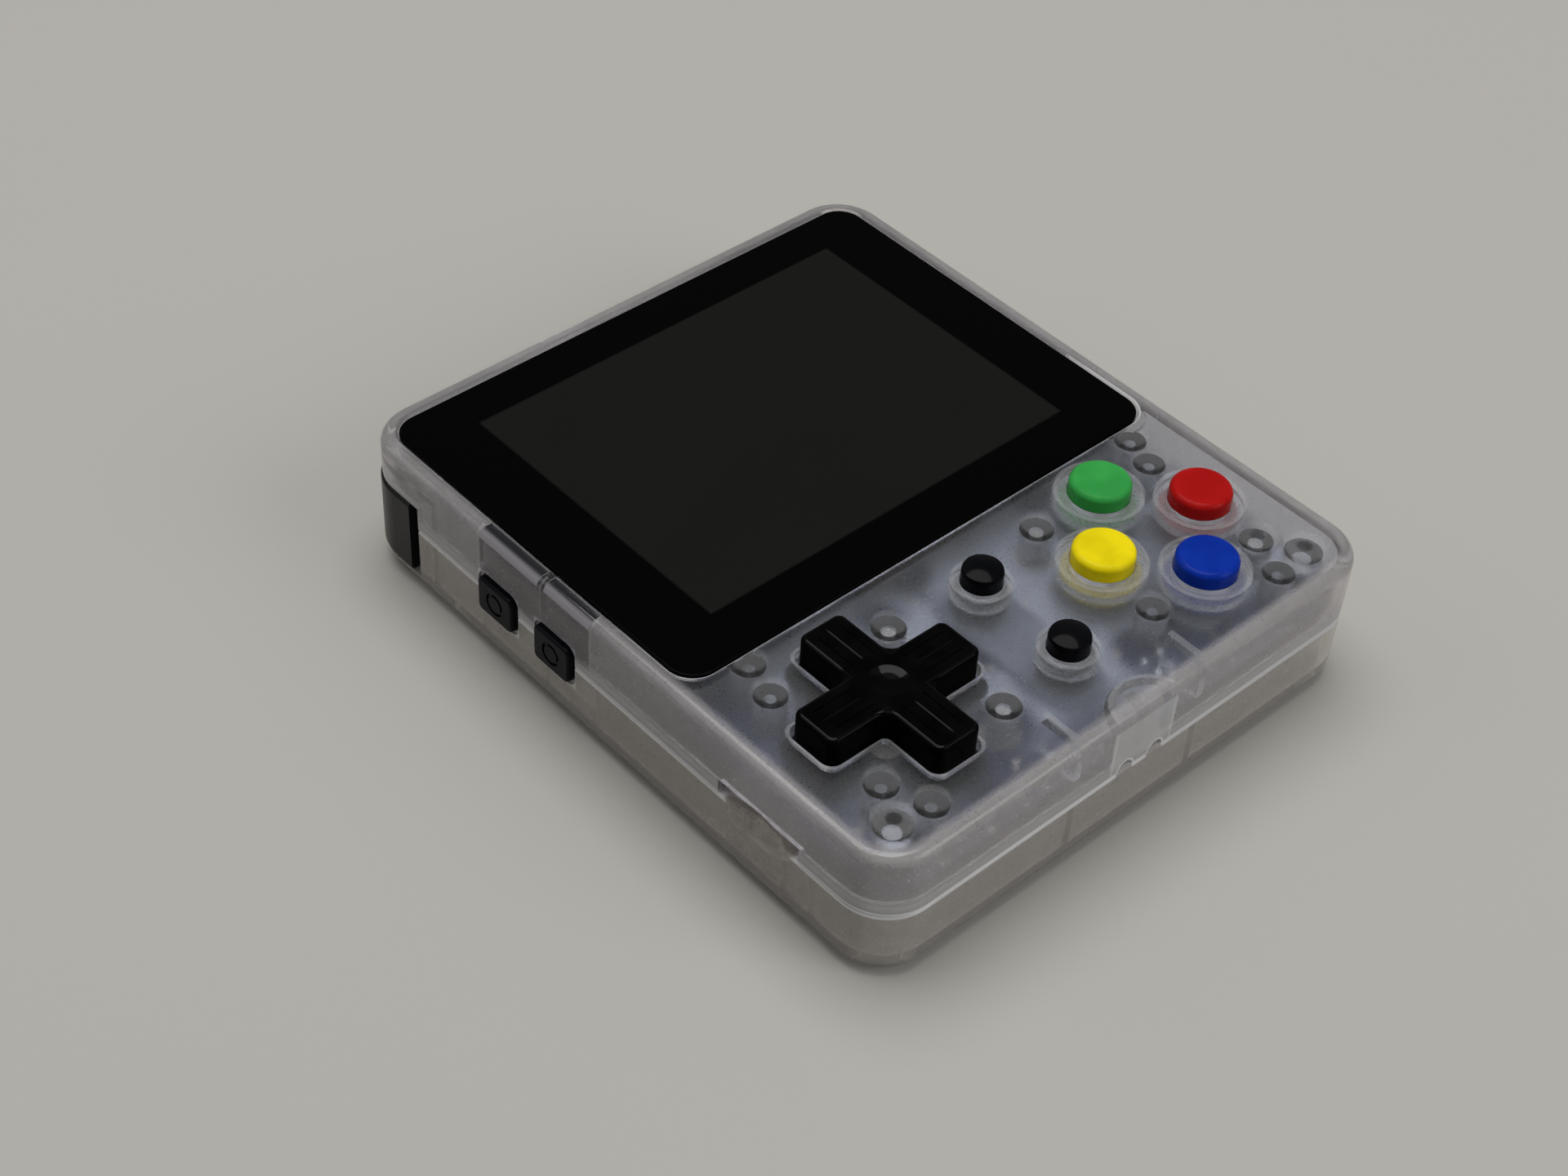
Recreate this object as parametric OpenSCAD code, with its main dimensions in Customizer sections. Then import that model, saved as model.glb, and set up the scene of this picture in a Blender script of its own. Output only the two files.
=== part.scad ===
// Handheld game console: a slab of two clear mouldings round a 4:3 display.
// Origin at the middle of the rear face, +X right, +Y to the display end, +Z out of the face.

/* [Case] */
// Width of the case
case_w = 74; // [70:0.5:90]
// Length of the case, from the strap end to the display end
case_l = 86; // [84:0.5:100]
// Thickness of the case over both shells
case_h = 17.5; // [16.5:0.1:22]
// Radius of the four upright corners
corner_r = 6; // [4.5:0.1:8]
// Thickness of the side walls
wall = 1.8; // [1.6:0.05:2.2]
// Thickness of the face, behind the controls
face_t = 1.6; // [1.3:0.05:2]
// Thickness of the rear face
floor_t = 1.8; // [1.4:0.05:2.4]
// Height of the rear shell, up to the parting line
rear_h = 9.4; // [8.9:0.05:9.8]
// Fillet where the face meets the walls
top_round = 1.2; // [0.6:0.1:1.5]
// Fillet where the rear face meets the walls
bottom_round = 2.5; // [1:0.1:3]
// Bevel on the front shell's lower edge, which shows as the parting line
parting_bevel = 0.4; // [0.1:0.05:0.5]
// Height of the tongue that keys the shells together
tongue_h = 1; // [0.6:0.05:1.2]
// Thickness of the tongue
tongue_t = 0.7; // [0.5:0.05:0.8]
// Gap between mouldings that fit into each other
fit_gap = 0.1; // [0.06:0.01:0.15]

/* [Display] */
// Margin between the case's edge and the display lens
lens_margin = 2.3; // [2.2:0.05:2.6]
// Length of the face left to the controls, from the strap end to the lens
controls_l = 31.9; // [31:0.1:36]
// Thickness of the display lens
lens_t = 1.1; // [0.8:0.05:1.3]
// Corner radius of the lens
lens_r = 3.2; // [1.5:0.1:4]
// Gap round the lens in its recess
lens_gap = 0.15; // [0.1:0.01:0.3]
// Thickness of the adhesive frame under the lens
tape_t = 0.15; // [0.1:0.01:0.2]
// Thickness of the ledge that carries the lens
ledge_t = 0.8; // [0.6:0.05:1]
// Margin between the lens's sides and the display panel
lcd_side = 4.7; // [4.5:0.1:6]
// Margin between the lens's ends and the display panel
lcd_end = 2.4; // [2.3:0.1:4]
// Thickness of the panel's glass
lcd_glass_t = 1.2; // [1:0.05:1.3]
// Thickness of the backlight behind the glass
lcd_light_t = 1.2; // [1:0.05:1.3]
// Gap between the panel and the window edge
lcd_gap = 0.4; // [0.2:0.05:0.6]

/* [Direction pad] */
// Distance from the left side to the pad's centre
dpad_side = 16.4; // [15.5:0.1:17]
// Distance from the strap end to the pad's centre
dpad_end = 17.5; // [16.5:0.1:18.5]
// Pad width from tip to tip
dpad_span = 21; // [19:0.1:21.5]
// Width of one arm of the pad
dpad_arm = 6; // [5.5:0.1:6.5]
// Height of the pad over the face
dpad_rise = 3; // [2:0.1:3.5]
// Gap between the pad and its cut-out
dpad_gap = 0.5; // [0.45:0.05:0.7]
// Width of the skirt under the face, on each side
dpad_skirt = 1.1; // [0.9:0.05:1.3]
// Drop from the inside of the face to the skirt
dpad_drop = 1.2; // [1.15:0.05:1.3]

/* [Buttons] */
// Distance from the right side to the middle of the coloured buttons
action_side = 17; // [16.5:0.1:17.5]
// Distance from the strap end to the middle of the coloured buttons
action_end = 18; // [17:0.1:18.5]
// Distance from that centre to each coloured button
action_pitch = 7.9; // [7.8:0.05:8.1]
// Diameter of a coloured button
action_d = 7.1; // [6.5:0.1:7.3]
// Height of a coloured button over the face
action_rise = 1.9; // [1.2:0.1:2.5]
// Position of the two small buttons across the case
menu_x = -0.4; // [-1:0.1:1]
// Distance between the two small buttons
menu_pitch = 12.8; // [12:0.1:14]
// Diameter of a small button
menu_d = 4.7; // [4:0.1:5]
// Height of a small button over the face
menu_rise = 2.2; // [1.5:0.1:2.5]
// Gap round a button in its guide
button_gap = 0.12; // [0.08:0.01:0.2]
// How far a face button travels
button_travel = 0.8; // [0.5:0.05:0.9]
// Length of the guides under the face
guide_h = 0.9; // [0.6:0.05:1]
// Wall of the guides round the coloured buttons
action_guide = 1.5; // [1:0.05:1.55]
// Wall of the guides round the small buttons
menu_guide = 1.05; // [0.8:0.05:1.3]
// Thickness of the flange that keeps a button in
flange_t = 1; // [0.7:0.05:1.1]
// Width of that flange beyond the button
flange_w = 0.9; // [0.6:0.05:1]

/* [Side controls] */
// Distance from the display end to the middle of the volume buttons
volume_end = 30.1; // [29:0.1:31]
// Distance between the volume buttons
volume_pitch = 9.8; // [9.4:0.1:10.4]
// Length of a volume button
volume_l = 6; // [5:0.1:6.4]
// Height of a volume button
volume_h = 4.8; // [4:0.1:5]
// Height of the volume buttons' centre
volume_z = 8.9; // [8.6:0.1:9]
// How far a volume button stands out of the wall
volume_proud = 0.6; // [0.3:0.05:0.8]
// How far a volume button travels
volume_travel = 0.5; // [0.3:0.05:0.55]
// Where the shoulder button ends on the side wall, from the display end
shoulder_side = 9.2; // [8.5:0.1:9.6]
// How far the shoulder button runs along the end wall, from the side of the case
shoulder_end = 19.5; // [18:0.1:20]
// Underside of the shoulder button
shoulder_z0 = 2.4; // [2:0.1:3]
// Top of the shoulder button
shoulder_z1 = 12.2; // [11.5:0.1:12.4]
// Wall of the shoulder button
shoulder_t = 1.5; // [1.3:0.05:1.7]
// How far the shoulder button stands out of the case
shoulder_proud = 0.2; // [0.1:0.05:0.4]
// Room below the shoulder button for its travel
shoulder_room = 1.4; // [1.3:0.05:1.6]
// Radius of the post that each shoulder button turns on
post_r = 1; // [0.8:0.05:1.2]
// Running clearance between post and shoulder button
post_gap = 0.05; // [0.03:0.01:0.08]
// Distance from the strap end to the power switch, when off
power_end = 35.4; // [35:0.1:36]
// Travel of the power switch
power_travel = 3; // [2:0.1:3.2]
// Length of the power knob
power_l = 4.6; // [4:0.1:5]
// Height of the power knob
power_h = 2.4; // [2:0.1:2.6]
// Height of the power knob's centre
power_z = 8.6; // [8.3:0.1:8.8]

/* [Sockets] */
// Distance from the strap end to the middle of the memory card slot
card_end = 18.3; // [17.5:0.1:19]
// Width of the memory card
card_w = 11; // [10.8:0.05:11.2]
// Thickness of the memory card
card_t = 0.8; // [0.7:0.05:0.9]
// Length of the memory card
card_l = 15; // [14.8:0.05:15.2]
// Width of the card slot in the case
slot_w = 12.2; // [12:0.1:12.6]
// Height of the card slot above the parting line
slot_h = 1.5; // [1.2:0.05:1.6]
// Distance between the two strap holes
strap_pitch = 4.6; // [4:0.1:5]
// Radius of a strap hole
strap_r = 1.1; // [0.8:0.05:1.2]
// Charging socket, across the end wall
usb_x = -6; // [-7:0.1:-5]
// Headphone socket, across the end wall
jack_x = 7; // [6:0.1:8]
// Radius of the headphone socket's bore
jack_r = 1.8; // [1.78:0.01:1.85]
// Depth of the headphone socket's bore
jack_l = 12; // [11:0.1:12.5]

/* [Inside] */
// Height of the circuit board's upper side
board_top = 11.8; // [11.6:0.05:12]
// Thickness of the circuit board
board_t = 1; // [0.8:0.05:1.2]
// Gap between the board's edge and the side walls
board_gap = 1.6; // [1.4:0.1:2]
// Thickness of the rubber sheets
rubber_t = 0.8; // [0.6:0.05:1]
// Room between the battery and each side of the case
battery_side = 12; // [11:0.5:16]
// Room between the battery and the display end
battery_end = 15.2; // [14.8:0.1:18]
// Room between the battery and the strap end
battery_strap = 36.8; // [36.4:0.1:40]
// Battery thickness
battery_t = 5.4; // [4.5:0.1:6]
// Speaker diameter
speaker_d = 20; // [16:0.5:21]
// Speaker thickness
speaker_t = 4.2; // [3.5:0.1:5]
// Distance from the right side to the speaker's centre
speaker_side = 18; // [17:0.1:19]
// Distance from the strap end to the speaker's centre
speaker_end = 19; // [18:0.1:20]
// Case screws at the strap end, from the sides of the case
screw_in = 5.9; // [5.5:0.1:6.4]
// Case screws at the strap end, from the edge of the case
screw_edge = 5.5; // [5:0.1:6]
// Case screws beside the display, from the sides of the case
screw_side = 4.5; // [4.4:0.1:4.6]
// Case screws beside the display, from the display end
screw_end = 16.7; // [16.4:0.1:17]
// Radius of a case screw's shank
screw_r = 1; // [0.9:0.05:1.1]
// Outer radius of a screw boss
boss_r = 2.15; // [2.1:0.05:2.4]
// Outer radius of the posts round the controls
peg_r = 1.85; // [1.7:0.05:2.1]

/* [Hidden] */
$fn = 48;

// Overlap that keeps cuts clear of the faces they open
cut = 1;
half_w = case_w / 2;
half_l = case_l / 2;
in_w = half_w - wall;
in_l = half_l - wall;
face_in = case_h - face_t;
board_low = board_top - board_t;
lens_w = case_w - 2 * lens_margin;
lens_l = case_l - lens_margin - controls_l;
lcd_w = lens_w - 2 * lcd_side;
lcd_l = lens_l - 2 * lcd_end;
lens_y = half_l - lens_margin - lens_l / 2;
recess_t = lens_t + tape_t;
ledge_z = case_h - recess_t;
frame_w = 1.6;
lcd_top = ledge_z - 0.05;
lcd_low = lcd_top - lcd_glass_t - lcd_light_t;
lens_bevel = 0.25;
flex_w = 0.3 * lcd_w;
flex_l = 9;
flex_t = 0.15;

dpad_x = -half_w + dpad_side;
dpad_y = -half_l + dpad_end;
action_x = half_w - action_side;
action_y = -half_l + action_end;
volume_y = half_l - volume_end;
power_y = -half_l + power_end;
card_y = -half_l + card_end;
speaker_x = half_w - speaker_side;
speaker_y = -half_l + speaker_end;
battery_w = case_w - 2 * battery_side;
battery_l = case_l - battery_end - battery_strap;
battery_y = (battery_strap - battery_end) / 2;

action_hole_r = action_d / 2 + button_gap;
menu_hole_r = menu_d / 2 + button_gap;
action_guide_r = action_hole_r + action_guide;
menu_guide_r = menu_hole_r + menu_guide;
guide_z = face_in - guide_h;
flange_top = guide_z - 0.05;
flange_low = flange_top - flange_t;
actions = [[0, 1], [1, 0], [-1, 0], [0, -1]];
menu_y = action_y - 0.4;
menus = [menu_y + menu_pitch / 2, menu_y - menu_pitch / 2];

dpad_tip_r = 1;
dpad_crook_r = 1.4;
dpad_edge_r = 0.55;
skirt_top = face_in - dpad_drop;
skirt_t = 0.9;
skirt_low = skirt_top - skirt_t;
dome_r = 1.9;
dome_reach = 7.2;

board_w = in_w - board_gap;
board_side_l = half_l - 11;
neck_w = 15;
board_screw_at = [
  [half_w - 8.6, -half_l + 10], [dpad_x + 8.1, dpad_y + 8.1],
  [dpad_x + 9.4, dpad_y - 7.6], [action_x - 9.2, action_y + 8.5]
];
pegs = [
  [half_w - 7, -half_l + 30.2], [-half_w + 9.5, -half_l + 30.8],
  [half_w - 8.3, -half_l + 26.1], [-half_w + 8.3, -half_l + 26.1],
  [half_w - 10.7, -half_l + 5], [-half_w + 10.7, -half_l + 5],
  [-half_w + 8.6, -half_l + 10], [action_x - 8.6, action_y - 8.1]
];
rib_t = 1;
strap_rib_x = 9.4;
strap_rib_l = 4.1;
strap_wall_r = 5.1;
strap_y = -half_l - 0.6;
board_screw_r = 0.8;
case_screw_at = [
  [half_w - screw_in, -half_l + screw_edge], [-half_w + screw_in, -half_l + screw_edge],
  [half_w - screw_side, half_l - screw_end], [-half_w + screw_side, half_l - screw_end]
];
head_r = 1.9;
head_t = 1.3;
head_room = 0.25;
head_z = 3;

pocket_t = 1.2;
volume_at = [volume_y + volume_pitch / 2, volume_y - volume_pitch / 2];
volume_rib_y = [volume_y + 8.4, volume_y - 2.5, volume_y - 10.9];
volume_flange = 0.5;
volume_flange_t = 0.8;
volume_room = pocket_t + volume_flange_t + volume_travel + 0.25 - wall;
volume_top = volume_z + volume_h / 2 + volume_flange;
shoulder_y = half_l - shoulder_side;
shoulder_x = half_w - shoulder_end;
shoulder_gap = 0.2;
hub_r = 2.2;
shoulder_post = [half_w - shoulder_end - 0.5, in_l - hub_r - 0.2];
pusher_x = half_w - 10.5;
bay_top = case_h - 2.9;
bay_low_y = shoulder_y - 4.2;
power_scoop = 0.85;
scoop_r = 14;
scoop_l = 14.4;
scoop_mid = power_y + power_travel / 2 + 2;
knob_proud = 0.1;
slot_z = rear_h + slot_h / 2;
slot_back = half_w - 1.9;
nail_r = 12;
nail_edge = 3;
nail_depth = 1.1;
usb_h = 3;
usb_w = 7.6;
usb_l = 6.2;
usb_z = board_low - usb_h / 2;
jack_body = 5;
jack_w = 6.4;
jack_nose = 1.1;
jack_z = board_low - jack_body / 2;
side_switch_h = 3.4;
side_switch_l = 6;
battery_plug = [-half_w + 12, -half_l + 35.5];
speaker_plug = [speaker_x - speaker_d / 2 + 0.5, -half_l + 6.4];
plug_w = 5;
plug_l = 4;
plug_h = 2.4;
chip_y = -half_l + 33;
main_chip = 14;
memory_chip = 10;
sound_chip_w = 8;
sound_chip_l = 5;
coil = 6;
crystal_r = 2.6;
chip_h = 1.5;
thin_chip_h = 1;
flex_plug_h = 1.2;
switch_depth = 4;
power_switch_end = 3.4;
grille_r = 0.8;
grille_pitch = 3.4;

// ---------- outlines and sweeps ----------

module rounded_rect(w, l, r) {
  square([w - 2 * r, l], center = true);
  square([w, l - 2 * r], center = true);
  for (x = [-1, 1], y = [-1, 1])
    translate([x * (w / 2 - r), y * (l / 2 - r)])
      circle(r);
}

// Carries a profile round a rounded rectangle: x runs outwards from the corner's axis, y is height
module round_rim(w, l, r) {
  x = w / 2 - r;
  y = l / 2 - r;
  translate([x, y, 0]) rotate_extrude(angle = 90) children();
  translate([-x, y, 0]) rotate([0, 0, 90]) rotate_extrude(angle = 90) children();
  translate([-x, -y, 0]) rotate([0, 0, 180]) rotate_extrude(angle = 90) children();
  translate([x, -y, 0]) rotate([0, 0, 270]) rotate_extrude(angle = 90) children();
  translate([x, y, 0]) rotate([90, 0, 0]) linear_extrude(2 * y) children();
  translate([-x, -y, 0]) rotate([90, 0, 180]) linear_extrude(2 * y) children();
  translate([-x, y, 0]) rotate([90, 0, 90]) linear_extrude(2 * x) children();
  translate([x, -y, 0]) rotate([90, 0, 270]) linear_extrude(2 * x) children();
}

// Slab with upright corners of radius r and a fillet e round its upper edge
module soft_slab(w, l, h, r, e) {
  round_rim(w, l, r) {
    soft_edge(r, h, e);
  }
  translate([-w / 2 + r, -l / 2 + r, 0]) cube([w - 2 * r, l - 2 * r, h]);
}

// Section r wide and h high with a fillet e at its upper outer corner
module soft_edge(r, h, e) {
  square([r, h - e]);
  square([r - e, h]);
  intersection() {
    translate([r - e, h - e]) circle(e);
    translate([r - e, h - e]) square(e);
  }
}

module tube(r_out, r_in, h) {
  difference() {
    cylinder(r = r_out, h = h);
    translate([0, 0, -cut]) cylinder(r = r_in, h = h + 2 * cut);
  }
}

module disc(x, y, z0, z1, r) {
  translate([x, y, z0]) cylinder(r = r, h = z1 - z0);
}

// Box given by its two far corners
module block(a, b) {
  translate(a) cube(b - a);
}

// ---------- wires ----------

function unit(v) = v / norm(v);

// Skin over a stack of outlines with equally many points, closed at both ends
module loft(rings) {
  n = len(rings[0]);
  m = len(rings);
  polyhedron(
    points = [for (ring = rings) for (q = ring) q],
    faces = concat(
      [[for (i = [0:n - 1]) i]],
      [for (k = [0:m - 2]) for (i = [0:n - 1])
        [k * n + i, (k + 1) * n + i, (k + 1) * n + (i + 1) % n, k * n + (i + 1) % n]],
      [[for (i = [n - 1:-1:0]) (m - 1) * n + i]]
    )
  );
}

// Round wire along a route, with a flat end at each side
module wire(route, r, sides) {
  n = len(route);
  rings = [for (i = [0:n - 1])
    let (
      t = unit(route[min(i + 1, n - 1)] - route[max(i - 1, 0)]),
      a = unit(cross(t, [0.31, 0.17, 0.94])),
      b = cross(t, a)
    )
    [for (k = [0:sides - 1]) route[i] + r * (a * cos(360 * k / sides) + b * sin(360 * k / sides))]];
  loft(rings);
}

// ---------- shells ----------

module front_profile() {
  translate([0, face_in]) square([corner_r - top_round, face_t]);
  translate([corner_r - wall, rear_h]) square([wall, case_h - top_round - rear_h]);
  translate([corner_r - wall, face_in]) square([wall - top_round, face_t]);
  intersection() {
    translate([corner_r - top_round, case_h - top_round]) circle(top_round);
    translate([corner_r - top_round, case_h - top_round]) square(top_round);
  }
}

module front_cuts_profile() {
  translate([corner_r - wall - cut, rear_h - cut])
    square([cut + tongue_t + fit_gap, tongue_h + fit_gap + cut]);
}

module front_shell() {
  color([0.78, 0.77, 0.82, 0.45])
    difference() {
      union() {
        difference() {
          front_body();
          round_rim(case_w, case_l, corner_r) {
            front_cuts_profile();
          }
          lens_seat();
        }
        front_inside();
      }
      face_holes();
      wall_holes();
      translate([0, lens_y, ledge_z - 2 * ledge_t])
        linear_extrude(2 * ledge_t + cut)
          rounded_rect(lcd_w + 2 * lcd_gap, lcd_l + 2 * lcd_gap, 0.8);
    }
}

module front_body() {
  round_rim(case_w, case_l, corner_r) {
    front_profile();
  }
  translate([0, 0, face_in])
    linear_extrude(face_t)
      square([case_w - 2 * corner_r, case_l - 2 * corner_r], center = true);
  translate([0, lens_y, ledge_z - ledge_t])
    linear_extrude(ledge_t + recess_t / 2)
      rounded_rect(lens_w + frame_w, lens_l + frame_w, lens_r);
}

module lens_seat() {
  translate([0, lens_y, ledge_z])
    linear_extrude(recess_t + cut)
      rounded_rect(lens_w + 2 * lens_gap, lens_l + 2 * lens_gap, lens_r + lens_gap);
  translate([0, lens_y, case_h])
    round_rim(lens_w + 2 * lens_gap, lens_l + 2 * lens_gap, lens_r + lens_gap) {
      polygon([
        [lens_r + lens_gap - 0.1, -lens_bevel - 0.1], [lens_r + lens_gap + lens_bevel + 0.1, 0.1],
        [lens_r + lens_gap - 0.1, 0.1]
      ]);
    }
}

module front_inside() {
  for (d = actions)
    disc(action_x + d[0] * action_pitch, action_y + d[1] * action_pitch, guide_z, face_in, action_guide_r);
  for (y = menus)
    disc(menu_x, y, guide_z, face_in, menu_guide_r);
  for (p = case_screw_at)
    disc(p[0], p[1], rear_h, face_in, boss_r);
  for (p = board_screw_at)
    disc(p[0], p[1], board_top, face_in, boss_r - 0.2);
  for (x = [-1, 1]) {
    block([x * strap_rib_x - rib_t / 2, -in_l - 0.2, board_top + 0.2],
      [x * strap_rib_x + rib_t / 2, -in_l + strap_rib_l, face_in + 0.1]);
  }
  block([in_w, scoop_mid - scoop_l / 2, rear_h + fit_gap],
    [in_w + tongue_t + 0.2, scoop_mid + scoop_l / 2, rear_h + tongue_h + 0.2]);
  control_pegs();
  strap_loop();
  volume_ribs();
  shoulder_bays();
}

// Posts round both thumb clusters, which hold the board down and locate the rubber sheets
module control_pegs() {
  for (p = pegs)
    disc(p[0], p[1], board_top, face_in, peg_r);
}

// Curved wall round the strap holes, with the bar that the strap goes round
module strap_loop() {
  intersection() {
    translate([0, strap_y, rear_h + tongue_h + fit_gap])
      tube(strap_wall_r, strap_wall_r - rib_t, face_in - rear_h - tongue_h - fit_gap);
    block([-strap_wall_r, -in_l - 0.2, rear_h], [strap_wall_r, 0, case_h]);
  }
  block([-0.7, -in_l - 0.2, rear_h + tongue_h + fit_gap], [0.7, -in_l + 1.2, face_in + 0.1]);
}

// Ribs behind the left wall, stepped inwards where the volume buttons move
module volume_ribs() {
  for (y = volume_rib_y) {
    block([-half_w + pocket_t - 0.1, y - rib_t / 2, volume_top + 0.3],
      [-in_w + 1.5, y + rib_t / 2, face_in + 0.1]);
    block([-in_w + volume_room, y - rib_t / 2, rear_h + tongue_h + fit_gap],
      [-in_w + 1.5, y + rib_t / 2, face_in]);
  }
}

// Shelf and end rib that box in each shoulder button
module shoulder_bays() {
  for (m = [0, 1])
    mirror([m, 0, 0]) {
      translate([0, 0, bay_top - rib_t])
        linear_extrude(rib_t)
          intersection() {
            difference() {
              rounded_rect(2 * in_w + 0.4, 2 * in_l + 0.4, corner_r - wall + 0.2);
              rounded_rect(2 * in_w - 5, 2 * in_l - 5, corner_r - wall);
            }
            translate([shoulder_x - 2, bay_low_y]) square([half_w, half_l]);
          }
      block([in_w - 1.3, bay_low_y, rear_h + tongue_h + fit_gap], [in_w + 0.2, bay_low_y + rib_t, bay_top]);
    }
}

module face_holes() {
  for (d = actions)
    disc(action_x + d[0] * action_pitch, action_y + d[1] * action_pitch,
      guide_z - cut, case_h + cut, action_hole_r);
  for (y = menus)
    disc(menu_x, y, guide_z - cut, case_h + cut, menu_hole_r);
  translate([dpad_x, dpad_y, face_in - cut])
    linear_extrude(face_t + 2 * cut)
      cross_outline(dpad_span + 2 * dpad_gap, dpad_arm + 2 * dpad_gap,
        dpad_tip_r + dpad_gap, dpad_crook_r - dpad_gap);
  for (p = case_screw_at)
    disc(p[0], p[1], rear_h - cut, face_in - 2, screw_r + 0.05);
  for (p = board_screw_at)
    disc(p[0], p[1], board_top - cut, face_in - 0.8, board_screw_r + 0.05);
  for (p = pegs)
    disc(p[0], p[1], board_top - cut, face_in - 0.8, peg_r - 1.2);
}

// Cross with rounded tips and rounded inner corners
module cross_outline(span, arm, tip, crook) {
  rounded_rect(span, arm, tip);
  rounded_rect(arm, span, tip);
  for (x = [-1, 1], y = [-1, 1])
    difference() {
      translate([x * (arm + crook) / 2, y * (arm + crook) / 2])
        square(crook, center = true);
      translate([x * (arm / 2 + crook), y * (arm / 2 + crook)])
        circle(crook);
    }
}

// Openings in the side walls, cut through both shells
module wall_holes() {
  shoulder_openings();
  for (y = volume_at)
    translate([-half_w - cut, y, volume_z])
      rotate([90, 0, 90])
        linear_extrude(wall + 2 * cut)
          rounded_rect(volume_l + 2 * button_gap, volume_h + 2 * button_gap, 0.8 + button_gap);
  for (y = volume_at)
    translate([-half_w - cut, y, volume_z])
      rotate([90, 0, 90])
        linear_extrude(0.3 + cut)
          rounded_rect(volume_l + 0.9, volume_h + 0.9, 1.25);
  volume_pocket();
  card_opening();
  strap_holes();
  power_opening();
  translate([usb_x, in_l - cut, usb_z])
    rotate([-90, 0, 0])
      linear_extrude(wall + 2 * cut)
        rounded_rect(usb_w + 1, usb_h + 0.8, 0.9);
  translate([jack_x, in_l - cut, jack_z])
    rotate([-90, 0, 0])
      cylinder(r = jack_body / 2 + 0.2, h = wall + 2 * cut);
}

module shoulder_openings() {
  for (m = [0, 1])
    mirror([m, 0, 0])
      translate([0, 0, shoulder_z0 - shoulder_gap])
        linear_extrude(shoulder_z1 - shoulder_z0 + 2 * shoulder_gap)
          difference() {
            translate([shoulder_x - shoulder_gap, shoulder_y - shoulder_room])
              square([shoulder_end + cut, shoulder_side + shoulder_room + cut]);
            rounded_rect(2 * in_w, 2 * in_l, corner_r - wall);
          }
}

// Thinner stretch of the left wall behind the volume buttons
module volume_pocket() {
  block([-half_w + pocket_t, volume_rib_y[2] - rib_t / 2, rear_h - volume_h],
    [-in_w + 0.01, volume_rib_y[0] + rib_t / 2, volume_top + 0.3]);
  for (k = [0, 1])
    block([-half_w + pocket_t, volume_rib_y[k + 1] + rib_t / 2, volume_top],
      [-in_w + 0.7, volume_rib_y[k] - rib_t / 2, case_h - 0.8]);
}

// Slot for the memory card and the scoop for a fingernail
module card_opening() {
  block([-half_w - cut, card_y - slot_w / 2, rear_h - 0.2],
    [-in_w + cut, card_y + slot_w / 2, rear_h + slot_h]);
  translate([-half_w, card_y + slot_w / 2, rear_h + slot_h])
    rotate([90, 0, 0])
      linear_extrude(slot_w)
        polygon([[-cut, -cut], [parting_bevel + cut, -cut], [-cut, parting_bevel + cut]]);
  translate([-half_w - nail_r + nail_depth, card_y, rear_h - 0.2])
    rotate_extrude($fn = 128)
      intersection() {
        union() {
          square([2 * (nail_r - nail_edge), 2 * nail_edge], center = true);
          translate([nail_r - nail_edge, 0]) circle(nail_edge, $fn = 32);
        }
        translate([0, -nail_edge]) square([nail_r, 2 * nail_edge]);
      }
}

// Two arches in the lower edge of the front wall
module strap_holes() {
  for (x = [-1, 1])
    translate([x * strap_pitch / 2, -in_l + cut, rear_h - 0.001])
      rotate([90, 0, 0])
        linear_extrude(wall + 2 * cut)
          intersection() {
            circle(strap_r);
            translate([-strap_r, 0]) square([2 * strap_r, strap_r]);
          }
}

// Finger scoop in the right wall, with the window that the knob slides in
module power_opening() {
  intersection() {
    translate([half_w + scoop_r - power_scoop, scoop_mid - scoop_l / 2, power_z + 3.6])
      rotate([-90, 0, 0])
        cylinder(r = scoop_r, h = scoop_l, $fn = 128);
    block([half_w - wall, scoop_mid - scoop_l / 2, 5], [half_w + cut, scoop_mid + scoop_l / 2, case_h + cut]);
  }
  block([in_w - cut, power_y - power_l / 2 - 0.2, power_z - power_h / 2 - 0.15],
    [half_w + cut, power_y + power_travel + power_l / 2 + 0.2, power_z + power_h / 2 + 0.15]);
}

module rear_profile() {
  difference() {
    union() {
      square([corner_r - bottom_round, floor_t]);
      translate([corner_r - wall, bottom_round]) square([wall, rear_h - bottom_round]);
      intersection() {
        translate([corner_r - bottom_round, bottom_round]) circle(bottom_round);
        translate([corner_r - bottom_round, 0]) square([bottom_round, bottom_round]);
      }
      translate([0, floor_t]) square([corner_r - bottom_round, bottom_round - floor_t]);
    }
    rear_hollow();
    polygon([
      [corner_r - parting_bevel, rear_h + 0.001], [corner_r, rear_h - parting_bevel],
      [corner_r + cut, rear_h - parting_bevel], [corner_r + cut, rear_h + 0.001]
    ]);
  }
}

// The hollow side of the rear shell's section, with its own fillet
module rear_hollow() {
  inner = max(0.3, bottom_round - wall);
  translate([-cut, floor_t + inner]) square([corner_r - wall + cut, rear_h]);
  translate([-cut, floor_t]) square([corner_r - wall - inner + cut, rear_h]);
  translate([corner_r - wall - inner, floor_t + inner]) circle(inner);
}

module tongue_profile() {
  translate([corner_r - wall, rear_h - 0.3]) square([tongue_t, tongue_h + 0.3]);
}

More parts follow.
